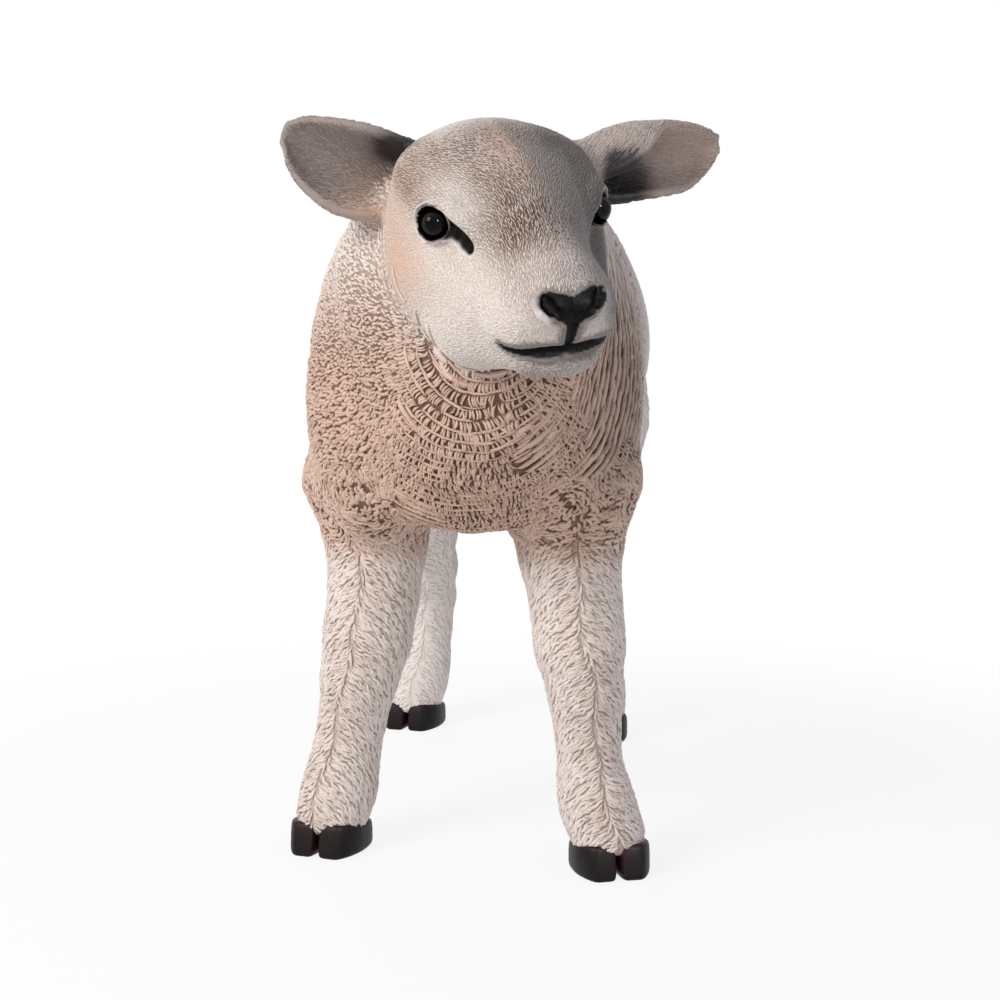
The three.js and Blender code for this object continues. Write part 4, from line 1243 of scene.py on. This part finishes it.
def beads(name, lines, width, height, material):
    """Raised lines on both sides of the face, each laid as short overlapping strands."""
    paths, gap, length = [], 5, 10
    for joints in lines:
        knots = np.array(joints, float)[:, :3]
        along = np.concatenate([[0], np.cumsum(np.linalg.norm(np.diff(knots, axis=0), axis=1))])
        starts = np.arange(0, along[-1] - gap, gap)
        at = starts[:, None] + np.linspace(0, length, len(STRAND))
        line = np.stack([np.interp(at, along, knots[:, k]) for k in range(3)], -1)
        paths += [line, line * (1, -1, 1)]
    path = np.concatenate(paths)
    count, stations = path.shape[:2]
    flat, out = onto_skin(from_head(path.reshape(-1, 3)), 3, lambda p: bare_head(to_head(p)) + DEPTH["face"])
    flat = flat + out * np.maximum(-skin_distance(flat), 0)[:, None]
    path, out = flat.reshape(count, stations, 3), out.reshape(count, stations, 3)
    ways = np.gradient(path, axis=1)
    ways = ways / (np.linalg.norm(ways, axis=2, keepdims=True) + 1e-6)
    made = locks(path, out, ways, np.full(count, width), np.full(count, height), STRAND, ROUND)
    coat_piece(name, "face", path[:, 0], made, np.full(count, 1.1), material)


def make_coat(skin):
    """Every lock of the coat. The order of the pieces sets the order of the random draws."""
    rng = np.random.default_rng(11)
    resin = painted_resin("brushed_cast_resin_wool", WOOL_GRAIN_DEPTH)

    def roots(gap, *names, test=None, crowd=4, slide=None):
        def weight(p):
            belongs = shares(parts(p))
            total = sum(belongs[name] for name in names)
            if test is not None:
                total = total * test(p)
            return total * (total > 0.15)
        points = scattered(skin, weight, gap, rng, crowd)
        return spaced(points if slide is None else slide(points), gap)

    def beside(way):
        return lambda p: ((p[:, 0] - TRUNK_MIDDLE) * way > 0) & ~ahead_of_shoulder(p)

    def clear_of_lips(p):
        flow = lie(p, slope(p)[0], shares(parts(p)))
        return 1 - np.max([bare(p + flow * ahead) for ahead in (0, 1.5, 3)], 0)

    for name, way in (("right", -1), ("left", 1)):
        face_roots = roots(1.15, "head", test=lambda p: clear_of_lips(p) * (to_head(p)[:, 1] * way > 0))
        depth = 0.35 + 0.5 * paint(face_roots, shares(parts(face_roots)))[0][:, 1]
        grow(f"coat_face_{name}", "face", resin, face_roots, rng, 3.6, 1.45, depth, PEBBLE, KEEL,
             scatter=0.14)
    beads("coat_face_folds", [CHEEK_EDGE, LID_FOLD], 1.7, 1.3, resin)
    ears = roots(1.45, ("ear", 0), ("ear", 1), test=within_rims)
    grow("coat_ears", "ear", resin, ears, rng, 6.0, 1.2, 0.55, PEBBLE, KEEL, scatter=0.12)

    def chest(p):
        return ahead_of_shoulder(p) * (1 - ringleted(p))

    scales = roots(1.75, "neck", "torso", test=lambda p: chest(p) * scaly(p))
    calm = smooth(scales[:, 2], 285, 335)
    grow("coat_neck_scales", "neck", resin, scales, rng, 5.6 - 1.6 * calm, 3.1 - 0.8 * calm,
         1.5 - 0.6 * calm, TOOTH, turn=rng.uniform(-1.1, 1.1, len(scales)), scatter=0.3, tuck=0.9)
    teeth = roots(1.2, "neck", "torso", test=lambda p: chest(p) * (ridged(p) < 0.7) * (1 - scaly(p)),
                  slide=lambda p: on_rows(p, 0.05), crowd=10)
    nested = 1.2 * np.sign(patches(teeth, 40, 8) + 0.3) * rng.uniform(0.3, 1.2, len(teeth))
    grow("coat_neck_teeth", "neck", resin, teeth, rng, 8.2, 2.3, 1.4, TOOTH, turn=nested,
         scatter=0.2, tuck=0.9)

    def lined(p):
        return (patches(p, 36, 6) > -0.25) * (scaly(p) < 0.6) * (ridged(p) < 0.5)

    lines = roots(5.4, "neck", "torso", test=lambda p: chest(p) * lined(p),
                  slide=lambda p: on_rows(p, 0.95), crowd=9)
    wide = rng.uniform(1.6, 2.8, len(lines))
    grow("coat_neck_lines", "neck", resin, lines, rng, 17.0, wide, 1.6, STRAND,
         heading=np.pi / 2, scatter=0.05, s_bend=0.1)
    ridges = roots(4.3, "neck", "torso", test=lambda p: chest(p) * (ridged(p) >= 0.5) * (scaly(p) < 0.5),
                   slide=lambda p: on_rows(p, 0.48), crowd=9)
    grow("coat_neck_ridges", "neck", resin, ridges, rng, 17.0, 5.0, 1.9, STRAND,
         heading=np.pi / 2, scatter=0.05, s_bend=0.1)
    curls = roots(2.6, "neck", "torso", ("leg", "front_right"), ("leg", "front_left"), test=ringleted)
    grow("coat_ringlets", "neck", resin, curls, rng, 9.0, 3.6, 1.8, RINGLET,
         turn=2.3 * np.sign(patches(curls, 30, 9)), heading=1.2 * patches(curls, 34, 4), scatter=0.2)
    for name, way in (("right", -1), ("left", 1)):
        trunk = roots(2.85, "neck", "torso", "tail", test=beside(way))
        grow(f"coat_trunk_{name}", "trunk", resin, trunk, rng, 6.6, 4.8, 1.7, PEBBLE,
             turn=rng.uniform(-1.2, 1.2, len(trunk)), scatter=0.5)
    for name in LEGS:
        hind = "hind" in name
        strands = roots(2.6 if hind else 2.25, ("leg", name), test=lambda p: 1 - 0.9 * ringleted(p))
        strands = np.concatenate([strands, parting(name)])
        grow(f"coat_leg_{name}", "leg", resin, strands, rng, 11.5, 2.9,
             0.8 if hind else 1.3, LEAF,
             scatter=0.14, s_bend=0.4, tuck=1.2)


# ---------------------------------------------------------------- the setting
CAMERA_AT = (97, -1063, 358)
CAMERA_TURN, CAMERA_DROP = -4.0, 6.6
LENS, SENSOR, NEAREST = 63.0, 36, 0.05
LAMB_MIDDLE = (0, -0.05, 0.3)       # where the lamps point, in metres
FLOOR_HALF = 6                      # half the floor's side, in metres


def make_camera():
    data = bpy.data.cameras.new("camera")
    data.sensor_width, data.lens, data.clip_start = SENSOR, LENS, NEAREST
    camera = bpy.data.objects.new("camera", data)
    turn, drop = np.radians([CAMERA_TURN, CAMERA_DROP])
    ahead = Vector((np.sin(turn) * np.cos(drop), np.cos(turn) * np.cos(drop), -np.sin(drop)))
    camera.location = in_frame(vec(*CAMERA_AT))
    camera.rotation_mode = "QUATERNION"
    camera.rotation_quaternion = ahead.to_track_quat("-Z", "Y")
    bpy.context.scene.collection.objects.link(camera)
    bpy.context.scene.camera = camera


def make_lamp(name, at, size, watts, colour, catch_light=False):
    """A square soft box aimed at the middle of the lamb. A catch light only shows in shiny things."""
    data = bpy.data.lights.new(name, "AREA")
    data.size, data.energy, data.color = size, watts, linear(colour)[:3]
    lamp = bpy.data.objects.new(name, data)
    lamp.location = at
    lamp.rotation_mode = "QUATERNION"
    lamp.rotation_quaternion = (Vector(LAMB_MIDDLE) - Vector(at)).to_track_quat("-Z", "Y")
    lamp.visible_diffuse = not catch_light
    bpy.context.scene.collection.objects.link(lamp)


def seen_white(tree, shader, glow, share):
    """Mixes a shader to plain white for the share of it that the eye, a mirror or glass would see."""
    path = add_node(tree, "ShaderNodeLightPath").outputs
    seen = path["Is Camera Ray"]
    for ray in ("Is Glossy Ray", "Is Transmission Ray"):
        seen = add_node(tree, *LARGER, i0=seen, i1=path[ray]).outputs[0]
    whitened = add_node(tree, *TIMES, i0=seen, i1=share).outputs[0]
    white = add_node(tree, glow, Color=(1, 1, 1, 1), Strength=1.0)
    return add_node(tree, "ShaderNodeMixShader", i0=whitened, i1=shader, i2=white.outputs[0]).outputs[0]


def make_studio():
    world = bpy.data.worlds.new("studio")
    world.use_nodes = True
    tree = world.node_tree
    tree.nodes.clear()
    room = add_node(tree, "ShaderNodeBackground", Color="F1F1F4", Strength=0.47)
    room_seen = seen_white(tree, room.outputs[0], "ShaderNodeBackground", 1.0)
    add_node(tree, "ShaderNodeOutputWorld", Surface=room_seen)
    bpy.context.scene.world = world

    material, tree = new_material("pale_floor_paint")
    matt = add_node(tree, "ShaderNodeBsdfDiffuse", Color="F2F0EF")
    place = add_node(tree, "ShaderNodeTexCoord").outputs["Object"]
    away = add_node(tree, "ShaderNodeVectorMath", dict(operation="LENGTH"), i0=place).outputs["Value"]
    share = add_node(tree, *EASE, Value=away, From_Min=0.30, From_Max=0.75, To_Min=0.85,
                     To_Max=1.0).outputs[0]
    floor_seen = seen_white(tree, matt.outputs[0], "ShaderNodeEmission", share)
    add_node(tree, "ShaderNodeOutputMaterial", Surface=floor_seen)
    bm = bmesh.new()
    bmesh.ops.create_grid(bm, x_segments=1, y_segments=1, size=FLOOR_HALF)
    mesh = bpy.data.meshes.new("floor")
    bm.to_mesh(mesh)
    bm.free()
    mesh.materials.append(material)
    floor = bpy.data.objects.new("floor", mesh)
    bpy.context.scene.collection.objects.link(floor)

    make_lamp("key", (-1.35, -1.6, 1.5), 1.0, 42, "FFFAF5")
    make_lamp("fill", (1.8, -1.0, 0.9), 1.4, 3, "E4EAFF")
    make_lamp("back", (-0.6, 1.8, 1.6), 1.4, 12, "FFFFFF")
    make_lamp("sparkle", (0.62, -1.25, 0.80), 0.16, 14, "FFFFFF", catch_light=True)
    bpy.context.scene.view_settings.view_transform = "Standard"


# ---------------------------------------------------------------- the lamb
make_camera()
make_studio()
skin = make_skin(painted_resin("brushed_cast_resin_skin", SKIN_GRAIN_DEPTH))
gloss, black = gloss_eye(), black_hoof()
for side in (-1, 1):
    eye(side, gloss)
    for name, shape in LEGS.items():
        claw(name, shape["foot"], shape["splay"], side, black)
make_coat(skin)
